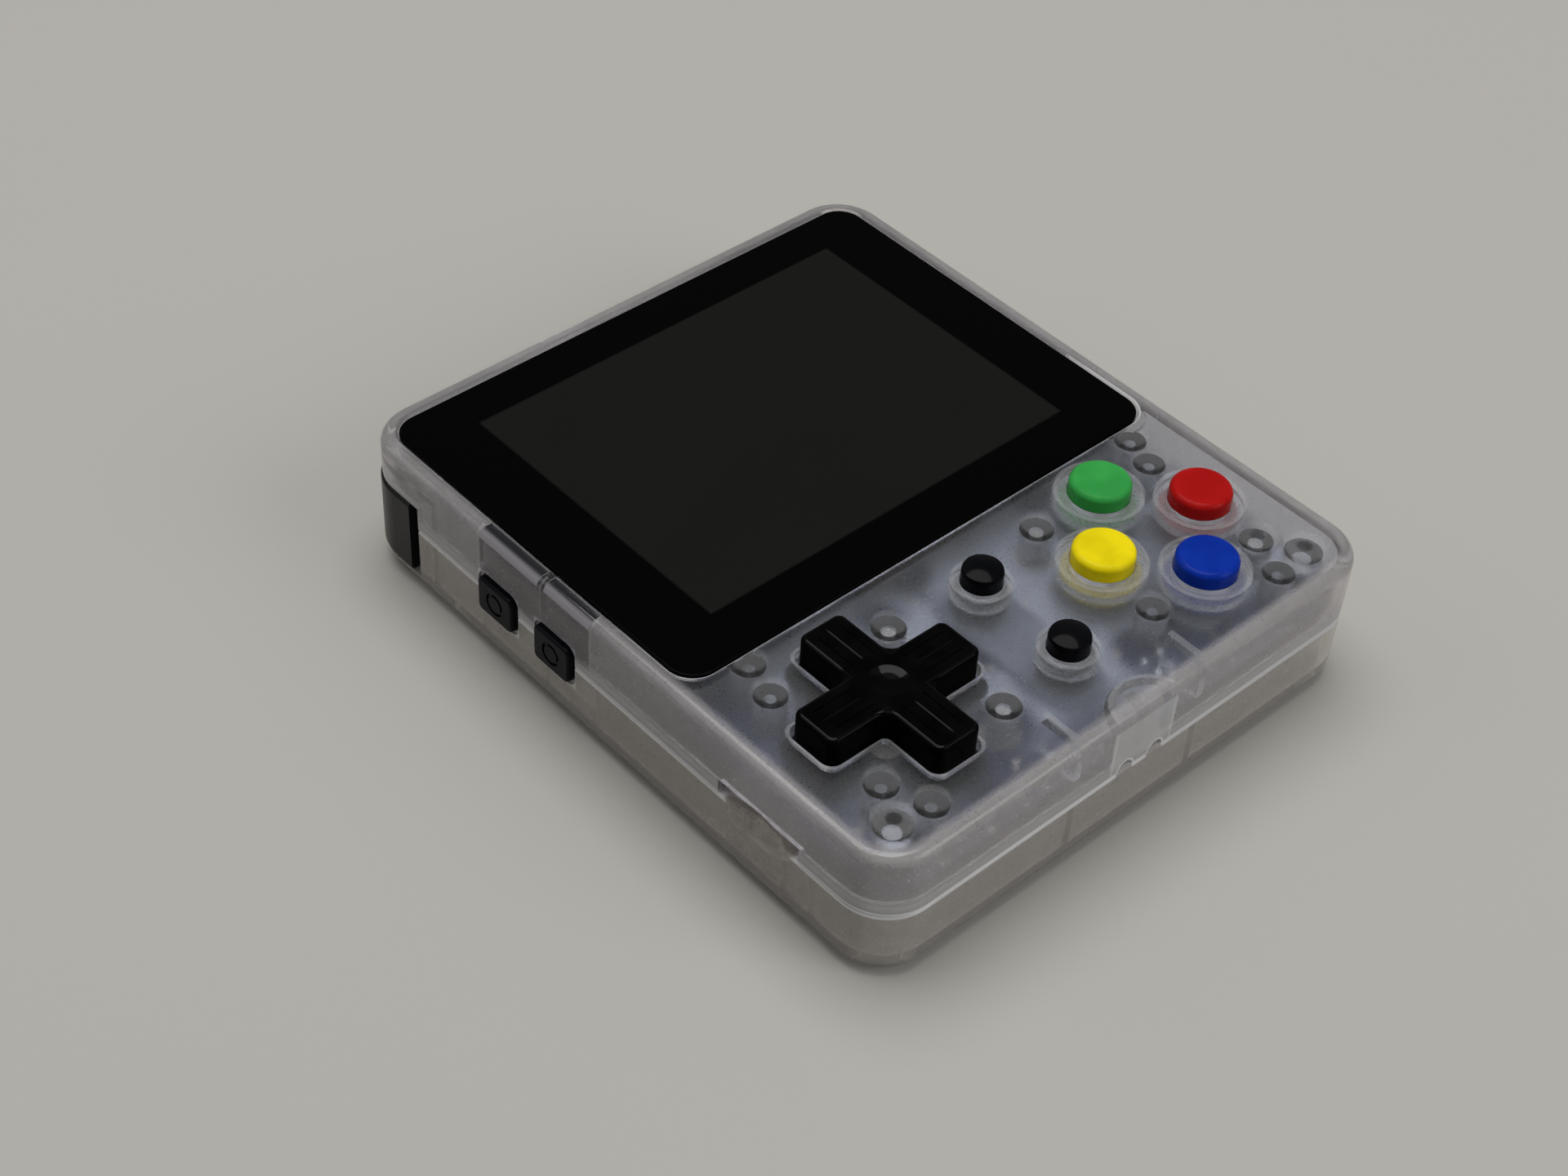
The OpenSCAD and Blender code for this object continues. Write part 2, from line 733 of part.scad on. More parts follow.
module rear_shell() {
  color([0.72, 0.71, 0.75, 0.45])
    difference() {
      union() {
        difference() {
          union() {
            round_rim(case_w, case_l, corner_r) {
              rear_profile();
            }
            difference() {
              round_rim(case_w, case_l, corner_r) {
                tongue_profile();
              }
              tongue_breaks();
            }
            linear_extrude(floor_t)
              square([case_w - 2 * corner_r, case_l - 2 * corner_r], center = true);
          }
          wall_holes();
        }
        rear_inside();
      }
      for (p = case_screw_at) {
        disc(p[0], p[1], -cut, head_z, head_r + head_room);
        disc(p[0], p[1], -cut, rear_h + cut, screw_r + 0.15);
      }
      grille();
    }
}

// Where the tongue stops for the volume buttons and the power switch
module tongue_breaks() {
  block([-half_w, volume_rib_y[2] - rib_t / 2, rear_h], [-in_w + cut, volume_rib_y[0] + rib_t / 2, case_h]);
  block([in_w - cut, scoop_mid - scoop_l / 2 - 0.4, rear_h], [half_w, scoop_mid + scoop_l / 2 + 0.4, case_h]);
}

module rear_inside() {
  for (p = case_screw_at)
    disc(p[0], p[1], floor_t / 2, rear_h - fit_gap, boss_r + 0.25);
  translate([speaker_x, speaker_y, floor_t - 0.2])
    tube(speaker_d / 2 + fit_gap + rib_t, speaker_d / 2 + fit_gap, 2.7);
  difference() {
    translate([0, battery_y, floor_t - 0.2])
      linear_extrude(3.2)
        difference() {
          rounded_rect(battery_w + 2 * rib_t + 0.4, battery_l + 2 * rib_t + 0.4, 1);
          square([battery_w + 0.4, battery_l + 0.4], center = true);
        }
    block([-battery_w / 2 + 7, -half_l, 0], [battery_w / 2 - 7, half_l, case_h]);
    block([-half_w, battery_y - battery_l / 2 + 7, floor_t + 0.01],
      [half_w, battery_y + battery_l / 2 - 7, case_h]);
  }
  rear_ribs();
  for (m = [0, 1])
    mirror([m, 0, 0]) {
      block([in_w - 1.3, bay_low_y, floor_t - 0.2], [in_w + 0.2, bay_low_y + rib_t, rear_h - fit_gap]);
      disc(shoulder_post[0], shoulder_post[1], floor_t - 0.2, shoulder_z0 + 0.6, post_r + 1);
      disc(shoulder_post[0], shoulder_post[1], floor_t - 0.2, rear_h + 0.6, post_r);
    }
}

// Upright ribs on the side walls, in line with those of the front shell
module rear_ribs() {
  for (y = volume_rib_y)
    block([-in_w - 0.2, y - rib_t / 2, floor_t - 0.2],
      [-in_w + rib_t, y + rib_t / 2,
        y == volume_rib_y[2] ? rear_h - fit_gap : 2 * volume_z - volume_top - 0.3]);
  for (y = [card_y - 3.6, card_y - 7.6])
    block([-in_w - 0.2, y - rib_t / 2, floor_t - 0.2], [-in_w + rib_t, y + rib_t / 2, rear_h - 0.4]);
  for (x = [-1, 1])
    block([x * strap_rib_x - rib_t / 2, -in_l - 0.2, floor_t - 0.2],
      [x * strap_rib_x + rib_t / 2, -in_l + strap_rib_l, board_low - plug_h - fit_gap]);
}

// Sound holes under the speaker
module grille() {
  disc(speaker_x, speaker_y, -cut, floor_t + cut, grille_r);
  for (a = [0:60:300])
    disc(speaker_x + grille_pitch * cos(a), speaker_y + grille_pitch * sin(a), -cut, floor_t + cut, grille_r);
  for (a = [30:60:330])
    disc(speaker_x + 1.75 * grille_pitch * cos(a), speaker_y + 1.75 * grille_pitch * sin(a),
      -cut, floor_t + cut, grille_r);
}

// ---------- display ----------

module display_lens() {
  color([0.02, 0.02, 0.02])
    translate([0, lens_y, ledge_z + tape_t])
      soft_slab(lens_w, lens_l, lens_t - 0.03, lens_r, 0.2);
}

module lens_tape() {
  color([0.1, 0.1, 0.1])
    translate([0, lens_y, ledge_z])
      linear_extrude(tape_t)
        difference() {
          rounded_rect(lens_w - 0.6, lens_l - 0.6, lens_r - 0.3);
          square([lcd_w + 2 * lcd_gap + 0.6, lcd_l + 2 * lcd_gap + 0.6], center = true);
        }
}

module lcd_panel() {
  color([0.13, 0.13, 0.13])
    translate([0, lens_y, lcd_top - lcd_glass_t])
      linear_extrude(lcd_glass_t + 0.15)
        square([lcd_w, lcd_l], center = true);
}

module lcd_backlight() {
  color([0.85, 0.85, 0.87])
    translate([0, lens_y, lcd_low])
      linear_extrude(lcd_light_t)
        rounded_rect(lcd_w, lcd_l, 0.6);
}

// Ribbon from the lower edge of the panel, folded back onto the board
module lcd_flex() {
  w = flex_w;
  t = flex_t;
  r_out = (lcd_low + 0.35 - board_top - 0.05) / 2;
  edge = lens_y - lcd_l / 2;
  color([0.75, 0.5, 0.15])
    translate([-w / 2, edge - 0.1, board_top + 0.05])
      rotate([90, 0, 90])
        linear_extrude(w) {
          intersection() {
            translate([0, r_out])
              difference() {
                circle(r_out);
                circle(r_out - t);
              }
            translate([-r_out, 0]) square([r_out, 2 * r_out]);
          }
          square([flex_l, t]);
        }
}

// ---------- board ----------

module board_outline() {
  difference() {
    union() {
      translate([0, (board_side_l - in_l + 0.6) / 2])
        rounded_rect(2 * board_w, board_side_l + in_l - 0.6, 3);
      translate([-neck_w, 0]) square([2 * neck_w, in_l - 0.6]);
    }
    for (p = case_screw_at)
      translate([p[0], p[1]]) circle(boss_r + 0.3);
    translate([0, strap_y]) circle(strap_wall_r + 0.4);
    for (p = board_screw_at)
      translate([p[0], p[1]]) circle(board_screw_r + 0.2);
  }
}

module main_board() {
  color([0.1, 0.16, 0.36])
    translate([0, 0, board_low])
      linear_extrude(board_t)
        board_outline();
}

// Soldered parts: processor, memory, power parts and plug sockets under the board, ribbon socket on it
module board_chips() {
  flex_end = lens_y - lcd_l / 2 - 0.1 + flex_l;
  color([0.12, 0.12, 0.13]) {
    block([-flex_w * 0.58, flex_end, board_top], [flex_w * 0.58, flex_end + plug_l, board_top + flex_plug_h]);
    chip([0, chip_y + main_chip / 2], main_chip, main_chip, chip_h);
    chip([speaker_x - 4, chip_y + 2 + memory_chip / 2], memory_chip, memory_chip, thin_chip_h);
    chip([dpad_x + 4, chip_y + 2 + sound_chip_l / 2], sound_chip_w, sound_chip_l, thin_chip_h);
    chip([menu_x - 4.1, chip_y - 24 + sound_chip_l / 2], 7, sound_chip_l, chip_h);
    chip([half_w - 12, half_l - 22], coil, coil, chip_h);
    translate([speaker_x - 4, chip_y + 22, board_low - thin_chip_h]) cylinder(r = crystal_r, h = thin_chip_h);
    for (p = [battery_plug, speaker_plug])
      chip(p, plug_w, plug_l, plug_h);
  }
}

// Package under the board, given by its middle and its width, length and height
module chip(p, w, l, h) {
  block([p[0] - w / 2, p[1] - l / 2, board_low - h], [p[0] + w / 2, p[1] + l / 2, board_low]);
}

// ---------- direction pad ----------

// Cross with a fillet e round its upper edge, inner corners included
module soft_cross(span, arm, h, tip, crook, e) {
  a = arm / 2;
  soft_slab(span, arm, h, tip, e);
  soft_slab(arm, span, h, tip, e);
  for (k = [0:90:270])
    rotate([0, 0, k])
      difference() {
        block([a - e, a - e, 0], [a + crook, a + crook, h]);
        translate([a + crook, a + crook, 0])
          rotate_extrude() {
            translate([0, -cut]) square([crook, h + 2 * cut]);
            difference() {
              translate([0, h - e]) square([crook + e, e + cut]);
              translate([crook + e, h - e]) circle(e);
            }
          }
      }
}

module dpad() {
  low = skirt_low + 0.2;
  top = case_h + dpad_rise;
  color([0.03, 0.03, 0.03])
    translate([dpad_x, dpad_y, 0])
      difference() {
        union() {
          translate([0, 0, low])
            soft_cross(dpad_span, dpad_arm, top - low, dpad_tip_r, dpad_crook_r, dpad_edge_r);
          translate([0, 0, skirt_low])
            linear_extrude(skirt_t)
              cross_outline(dpad_span + 2 * dpad_skirt, dpad_arm + 2 * dpad_skirt, 1.4, 0.8);
          translate([0, 0, board_top + rubber_t + 0.3])
            cylinder(r = 1.5, h = skirt_low - board_top - rubber_t);
        }
        translate([0, 0, top + 5.6]) sphere(r = 6, $fn = 64);
        for (a = [0:90:270], y = [-dpad_arm / 4, dpad_arm / 4])
          rotate([0, 0, a])
            block([3.4, y - 0.1, top - 0.12], [dpad_span / 2 - 1.6, y + 0.1, top + cut]);
      }
}

module dpad_membrane() {
  z = board_top + 0.05;
  color([0.85, 0.85, 0.88])
    translate([dpad_x, dpad_y, z]) {
      linear_extrude(rubber_t)
        cross_outline(2 * dome_reach + 5, 9, 3.5, 1);
      for (a = [0:90:270])
        rotate([0, 0, a])
          translate([dome_reach, 0, 0])
            cylinder(r = dome_r, h = skirt_low - 0.05 - z);
      cylinder(r = 2.4, h = rubber_t + 0.2);
    }
}

// ---------- face buttons ----------

module action_button(k, tint) {
  color(tint)
    translate([action_x + actions[k][0] * action_pitch, action_y + actions[k][1] * action_pitch, 0])
      rotate_extrude() {
        round_cap(action_d / 2, case_h + action_rise, 0.7);
        translate([0, flange_low]) square([action_d / 2 + flange_w, flange_t]);
      }
}

// Half section of a button from its flange up to a filleted top
module round_cap(r, top, e) {
  translate([0, flange_low]) soft_edge(r, top - flange_low, e);
}

module button_top() {
  action_button(0, [0.16, 0.62, 0.27]);
}

module button_right() {
  action_button(1, [0.8, 0.06, 0.06]);
}

module button_left() {
  action_button(2, [0.97, 0.87, 0.02]);
}

module button_bottom() {
  action_button(3, [0.03, 0.14, 0.68]);
}

module action_membrane() {
  z = board_top + 0.05;
  color([0.85, 0.85, 0.88])
    translate([action_x, action_y, z]) {
      linear_extrude(rubber_t)
        cross_outline(2 * action_pitch + 8, 9, 3.5, 1);
      for (d = actions)
        translate([d[0] * action_pitch, d[1] * action_pitch, 0])
          cylinder(r = dome_r + 0.6, h = flange_low - 0.05 - z);
    }
}

module menu_button(k) {
  color([0.03, 0.03, 0.03])
    translate([menu_x, menus[k], 0])
      rotate_extrude() {
        intersection() {
          round_cap(menu_d / 2, case_h + menu_rise, 0.9);
          translate([0, case_h + menu_rise - 6]) circle(6);
        }
        translate([0, flange_low]) square([menu_d / 2, case_h - flange_low]);
        translate([0, flange_low]) square([menu_d / 2 + flange_w, flange_t]);
      }
}

module select_button() {
  menu_button(0);
}

module start_button() {
  menu_button(1);
}

module menu_membrane() {
  z = board_top + 0.05;
  color([0.85, 0.85, 0.88])
    translate([menu_x, menu_y, z]) {
      linear_extrude(rubber_t)
        rounded_rect(8, menu_pitch + 8, 3.9);
      for (s = [-1, 1])
        translate([0, s * menu_pitch / 2, 0])
          cylinder(r = dome_r, h = flange_low - 0.05 - z);
    }
}

// ---------- side controls ----------

module volume_button(k) {
  face = -half_w - volume_proud;
  flange_x = -half_w + pocket_t + 0.1;
  color([0.04, 0.04, 0.045])
    translate([0, volume_at[k], volume_z])
      difference() {
        union() {
          translate([flange_x + 0.1, 0, 0])
            rotate([0, -90, 0])
              soft_slab(volume_h, volume_l, flange_x + 0.1 - face, 0.8, 0.35);
          translate([flange_x, 0, 0])
            rotate([90, 0, 90])
              linear_extrude(volume_flange_t)
                rounded_rect(volume_l + 2 * volume_flange, volume_h + 2 * volume_flange, 0.8);
        }
        translate([face - cut, 0, 0])
          rotate([0, 90, 0])
            tube(1.45, 1.05, cut + 0.2);
      }
}

module volume_up_button() {
  volume_button(0);
}

module volume_down_button() {
  volume_button(1);
}

// Side-acting switches under the board: body and plunger as one solid each
module volume_switches() {
  back = -half_w + pocket_t + 0.1 + volume_flange_t + volume_travel + 0.1;
  color([0.2, 0.2, 0.22])
    for (y = volume_at) {
      block([back + 0.6, y - side_switch_l / 2, board_low - side_switch_h],
        [back + switch_depth, y + side_switch_l / 2, board_low]);
      block([back, y - 1.3, volume_z - 0.8], [back + 0.7, y + 1.3, volume_z + 0.8]);
    }
}

module shoulder_section() {
  translate([corner_r - shoulder_t + shoulder_proud, shoulder_z0])
    square([shoulder_t - 0.5, shoulder_z1 - shoulder_z0]);
  translate([corner_r + shoulder_proud - 0.5, shoulder_z0 + 0.5])
    square([0.5, shoulder_z1 - shoulder_z0 - 1]);
  for (z = [shoulder_z0 + 0.5, shoulder_z1 - 0.5])
    translate([corner_r + shoulder_proud - 0.5, z]) circle(0.5);
}

// Curved button that wraps the corner, with its hub, pusher and stop
module shoulder_button() {
  x = half_w - corner_r;
  y = half_l - corner_r;
  skin = corner_r - shoulder_t + shoulder_proud;
  color([0.06, 0.06, 0.07]) {
    translate([x, y, 0]) rotate_extrude(angle = 90) shoulder_section();
    translate([x, y, 0]) rotate([90, 0, 0]) linear_extrude(y - shoulder_y) shoulder_section();
    translate([shoulder_x, y, 0]) rotate([90, 0, 90]) linear_extrude(x - shoulder_x) shoulder_section();
    difference() {
      union() {
        translate([shoulder_post[0], shoulder_post[1], shoulder_z0 + 0.7])
          cylinder(r = hub_r, h = rear_h - shoulder_z0 - 0.7);
        block([shoulder_post[0], shoulder_post[1], shoulder_z0 + 0.7], [shoulder_x + 4, in_l - 0.3, rear_h]);
        block([shoulder_x, in_l - 1, shoulder_z0 + 0.7], [shoulder_x + 4, y + skin + 0.1, rear_h]);
        block([pusher_x - 0.8, board_side_l + 1.4, volume_z - 1.5],
          [pusher_x + 0.8, y + skin + 0.1, volume_z + 1.5]);
        block([x + skin - 1, shoulder_y - shoulder_room - 0.6, 4], [x + skin + 0.1, y, rear_h - 0.4]);
      }
      disc(shoulder_post[0], shoulder_post[1], 0, case_h, post_r + post_gap);
      block([x + corner_r - wall - 0.15, 0, 0], [case_w, shoulder_y - 0.01, case_h]);
    }
  }
}

module right_shoulder_button() {
  shoulder_button();
}

module left_shoulder_button() {
  mirror([1, 0, 0]) shoulder_button();
}

module shoulder_switches() {
  color([0.2, 0.2, 0.22])
    for (x = [-pusher_x, pusher_x]) {
      block([x - side_switch_l / 2, board_side_l - 0.2 - switch_depth, board_low - side_switch_h],
        [x + side_switch_l / 2, board_side_l - 0.2, board_low]);
      block([x - 1.3, board_side_l - 0.3, volume_z - 0.8], [x + 1.3, board_side_l + 0.7, volume_z + 0.8]);
    }
}

module power_knob() {
  color([0.05, 0.05, 0.055]) {
    difference() {
      block([in_w - 0.9, power_y - power_l / 2, power_z - power_h / 2],
        [half_w - power_scoop + 0.6, power_y + power_l / 2, power_z + power_h / 2]);
      for (k = [-2:2])
        block([half_w - power_scoop + 0.4, power_y + k * 0.8 - 0.15, power_z - power_h],
          [half_w + cut, power_y + k * 0.8 + 0.15, power_z + power_h]);
    }
    block([in_w - 0.9, power_y - power_l / 2 - 0.8, power_z - power_h / 2 - 0.5],
      [in_w - fit_gap, power_y + power_l / 2 + 0.8, power_z + power_h / 2 + 0.5]);
    block([in_w - 2, power_y - 0.8, power_z - 0.6], [in_w - 0.8, power_y + 0.8, power_z + 0.6]);
  }
}

module power_switch() {
  color([0.6, 0.6, 0.62])
    difference() {
      block([in_w - 1.1 - switch_depth, power_y - power_switch_end, board_low - side_switch_h],
        [in_w - 1.1, power_y + power_travel + power_switch_end, board_low]);
      block([in_w - 2.3, power_y - 1, power_z - 0.8], [in_w, power_y + power_travel + 1, power_z + 0.8]);
    }
}

// ---------- sockets ----------

module memory_card() {
  color([0.05, 0.05, 0.05])
    translate([-slot_back, card_y - card_w / 2, rear_h + 0.3])
      cube([card_l, card_w, card_t]);
}

module card_socket() {
  color([0.7, 0.7, 0.72])
    difference() {
      block([-board_w, card_y - card_w / 2 - 0.7, rear_h - 0.1],
        [-slot_back + card_l + 1, card_y + card_w / 2 + 0.7, board_low]);
      block([-board_w - cut, card_y - card_w / 2 - 0.1, rear_h + 0.2],
        [-slot_back + card_l + 0.1, card_y + card_w / 2 + 0.1, rear_h + 0.4 + card_t]);
    }
}

module usb_port() {
  color([0.75, 0.75, 0.77])
    translate([usb_x, in_l + 1 - usb_l, usb_z])
      rotate([-90, 0, 0]) {
        difference() {
          linear_extrude(usb_l)
            rounded_rect(usb_w, usb_h, 0.7);
          translate([0, 0, 1])
            linear_extrude(usb_l)
              rounded_rect(usb_w - 0.8, usb_h - 0.8, 0.4);
        }
        translate([-2, -0.35, 0.5]) cube([4, 0.7, usb_l - 1.7]);
      }
}

module headphone_jack() {
  color([0.08, 0.08, 0.08])
    translate([jack_x, in_l + jack_nose, jack_z])
      rotate([90, 0, 0])
        difference() {
          union() {
            cylinder(r = jack_body / 2, h = jack_nose + 1);
            translate([-jack_w / 2, -jack_body / 2, jack_nose + 0.6])
              cube([jack_w, jack_body, jack_l - jack_nose + 0.4]);
          }
          translate([0, 0, -cut]) cylinder(r = jack_r, h = jack_l + cut);
        }
}

// ---------- power and sound ----------

module battery() {
  color([0.3, 0.42, 0.62])
    translate([0, battery_y, floor_t])
      soft_slab(battery_w, battery_l, battery_t, 1.5, 0.5);
}

// Route from the battery's edge down and round into its plug socket, from the socket's centre
battery_lead_route = [
  [2.4, 1.2, 6.1], [2.2, -0.1, 6], [1.4, -2.1, 6.1], [0.4, -3.5, 6.8],
  [0, -4, 7.8], [0, -3.7, 8.8], [0, -2.9, 9.4], [0, -2.05, 9.6]
];

module battery_lead() {
  color([0.7, 0.05, 0.05])
    for (s = [0, 1])
      translate([battery_plug[0] + s * 1.3 - 0.65, battery_plug[1], 0])
        wire(battery_lead_route, 0.5, 8);
}

module speaker() {
  color([0.15, 0.15, 0.16])
    translate([speaker_x, speaker_y, floor_t]) {
      difference() {
        cylinder(r = speaker_d / 2, h = speaker_t - 1.2);
        translate([0, 0, -cut]) cylinder(r = speaker_d / 2 - 1.2, h = cut + 1);
      }
      cylinder(r = speaker_d / 2 - 4, h = speaker_t);
    }
}

// Route from the speaker's frame into its plug socket, from the socket's centre
speaker_lead_route = [
  [2.9, 8.2, 5.3], [1.5, 6.6, 5.4], [0.4, 5.4, 6], [0, 4.4, 7],
  [-0.1, 3.8, 8.2], [0, 3.1, 9.1], [0, 2.05, 9.4]
];

module speaker_lead() {
  color([0.7, 0.05, 0.05])
    for (s = [0, 1])
      translate([speaker_plug[0] + s * 1.2 - 0.6, speaker_plug[1], 0])
        wire(speaker_lead_route, 0.45, 8);
}

// ---------- fasteners ----------

// Cross-head screw, head down at height z
module screw(r, l, z, cap_r, cap_t) {
  difference() {
    union() {
      translate([0, 0, z - cap_t]) cylinder(r = cap_r, h = cap_t);
      translate([0, 0, z - 0.1]) cylinder(r = r, h = l + 0.1);
    }
    block([-cap_r * 0.6, -0.2, z - cap_t - cut], [cap_r * 0.6, 0.2, z - cap_t + 0.6]);
    block([-0.2, -cap_r * 0.6, z - cap_t - cut], [0.2, cap_r * 0.6, z - cap_t + 0.6]);
  }
}

module case_screws() {
  color([0.55, 0.55, 0.57])
    for (p = case_screw_at)
      translate([p[0], p[1], 0])
        screw(screw_r, face_in - 2.3 - head_z, head_z, head_r, head_t);
}

module board_screws() {
  color([0.75, 0.75, 0.78])
    for (p = board_screw_at)
      translate([p[0], p[1], 0])
        screw(board_screw_r, face_in - 1.1 - board_low, board_low, 1.7, 1);
}

front_shell();
rear_shell();
display_lens();
lens_tape();
lcd_panel();
lcd_backlight();
lcd_flex();
main_board();
board_chips();
dpad();
dpad_membrane();
button_top();
button_right();
button_left();
button_bottom();
action_membrane();
select_button();
start_button();
menu_membrane();
volume_up_button();
volume_down_button();
volume_switches();
left_shoulder_button();
right_shoulder_button();
shoulder_switches();
power_knob();
power_switch();
card_socket();
memory_card();
usb_port();
headphone_jack();
battery();
battery_lead();
speaker();
speaker_lead();
case_screws();
board_screws();
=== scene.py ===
"""Finishes, rubber mats, board parts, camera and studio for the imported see-through handheld console."""

import logging
import math
from dataclasses import dataclass
from enum import Enum, auto
from typing import Any, Protocol, Union

import bmesh
import bpy
import numpy as np
from mathutils import Matrix, Vector


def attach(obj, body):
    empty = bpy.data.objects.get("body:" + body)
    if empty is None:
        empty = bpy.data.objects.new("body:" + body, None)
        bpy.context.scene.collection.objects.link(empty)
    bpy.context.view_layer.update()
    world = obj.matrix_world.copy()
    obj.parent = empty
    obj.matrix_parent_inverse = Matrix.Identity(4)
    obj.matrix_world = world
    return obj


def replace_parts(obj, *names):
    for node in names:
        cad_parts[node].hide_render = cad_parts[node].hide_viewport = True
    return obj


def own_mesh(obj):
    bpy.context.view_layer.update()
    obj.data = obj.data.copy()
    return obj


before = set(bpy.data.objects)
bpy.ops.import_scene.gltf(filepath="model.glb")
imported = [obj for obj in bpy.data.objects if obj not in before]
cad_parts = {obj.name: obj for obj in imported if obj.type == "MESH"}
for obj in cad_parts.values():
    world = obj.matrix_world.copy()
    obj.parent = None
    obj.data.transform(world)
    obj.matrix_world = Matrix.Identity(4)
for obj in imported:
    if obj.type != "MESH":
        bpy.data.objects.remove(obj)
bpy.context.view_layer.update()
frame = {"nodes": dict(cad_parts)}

MM = 0.001
LOG = logging.getLogger("console")
Colour = tuple[float, float, float]
Value = Union["Sig", float]

# The case, in millimetres: half width, half length and corner radius of its outline.
HALF_W, HALF_L, CORNER_R = 37.0, 43.0, 6.0
# Bands that a mark fades in over: up to the outer face, and down to the underside of the face.
OUTSIDE, UNDERSIDE = (17.2, 17.4), (15.95, 15.8)
# Bay of the two keys in the left wall: its middle along the wall, half its length, and the keys' places.
BAY_Y, BAY_REACH, KEY_YS, KEY_Z = 11.6, 9.2, (17.8, 8.0), 8.9
# The two strap holes: distance from the middle line, height and radius.
STRAP_X, STRAP_Z, STRAP_R = 2.3, 9.4, 1.1
# Seat of the display window: its middle along the case, its width and its length.
WINDOW_Y, WINDOW_W, WINDOW_L = 14.8, 69.7, 52.1
# Middles of the pad, the coloured buttons and the menu buttons, and how far the buttons are from them.
PAD_X, PAD_Y = -20.6, -25.5
ACTION_X, ACTION_Y, ACTION_STEP = 20.0, -25.0, 7.9
MENU_X, MENU_Y, MENU_STEP = -0.4, -25.4, 6.4
ACTION_SIDES = (("top", 0, 1), ("right", 1, 0), ("left", -1, 0), ("bottom", 0, -1))
MENU_SIDES = (("select", 1), ("start", -1))
# The board's two faces and its screws.
BOARD_UNDER, BOARD_TOP = 10.8, 11.8
BOARD_SCREWS = ((28.4, -33.0), (-12.5, -17.4), (-11.2, -33.1), (10.8, -16.5))
RIGHT = np.array([1.0, 0.0, 0.0])


def scaled(tone: Colour, by: float) -> Colour:
    """A colour, or a scale for each axis, times a factor."""
    return tuple(c * by for c in tone)


# ---------------------------------------------------------------- shader arithmetic


class Sig:
    """A value on its way through a material, with arithmetic written as Python."""

    def __init__(self, sheet: "Sheet", socket: bpy.types.NodeSocket) -> None:
        """Holds the socket that gives the value and the sheet it lives in."""
        self.sheet = sheet
        self.socket = socket

    def _math(self, operation: str, a: Value, b: Value = 0.0) -> "Sig":
        """Result of one Math node on a and b."""
        return self.sheet.take("ShaderNodeMath", {"operation": operation}, {0: a, 1: b})

    def __add__(self, other: Value) -> "Sig":
        """self + other."""
        return self._math("ADD", self, other)

    def __radd__(self, other: Value) -> "Sig":
        """other + self."""
        return self._math("ADD", other, self)

    def __sub__(self, other: Value) -> "Sig":
        """self - other."""
        return self._math("SUBTRACT", self, other)

    def __rsub__(self, other: Value) -> "Sig":
        """other - self."""
        return self._math("SUBTRACT", other, self)

    def __mul__(self, other: Value) -> "Sig":
        """self * other."""
        return self._math("MULTIPLY", self, other)

    def __rmul__(self, other: Value) -> "Sig":
        """other * self."""
        return self._math("MULTIPLY", other, self)

    def __gt__(self, other: Value) -> "Sig":
        """1 where self > other, else 0."""
        return self._math("GREATER_THAN", self, other)

    def __lt__(self, other: Value) -> "Sig":
        """1 where self < other, else 0, which is also other > self."""
        return self._math("LESS_THAN", self, other)

    def __abs__(self) -> "Sig":
        """Absolute value."""
        return self._math("ABSOLUTE", self)

    def least(self, other: Value) -> "Sig":
        """The smaller of the two."""
        return self._math("MINIMUM", self, other)

    def most(self, other: Value) -> "Sig":
        """The larger of the two."""
        return self._math("MAXIMUM", self, other)

    def root(self) -> "Sig":
        """Square root."""
        return self._math("SQRT", self)

    def wave(self, period: float) -> "Sig":
        """Distance to the nearest multiple of a period, as a share of half of it."""
        return self._math("PINGPONG", self, period / 2) * (2 / period)

    def rise(self, low: float, high: float) -> "Sig":
        """Smooth step from 0 at low to 1 at high, where low may be the larger."""
        settings = {"interpolation_type": "SMOOTHSTEP", "clamp": True}
        return self.sheet.take("ShaderNodeMapRange", settings, {0: self, 1: low, 2: high, 3: 0.0, 4: 1.0})

    def near(self, middle: float, reach: float, soft: float = 0.1) -> "Sig":
        """1 within a reach of a middle, falling to 0 over the soft stretch past it."""
        return abs(self - middle).rise(reach + soft, reach)


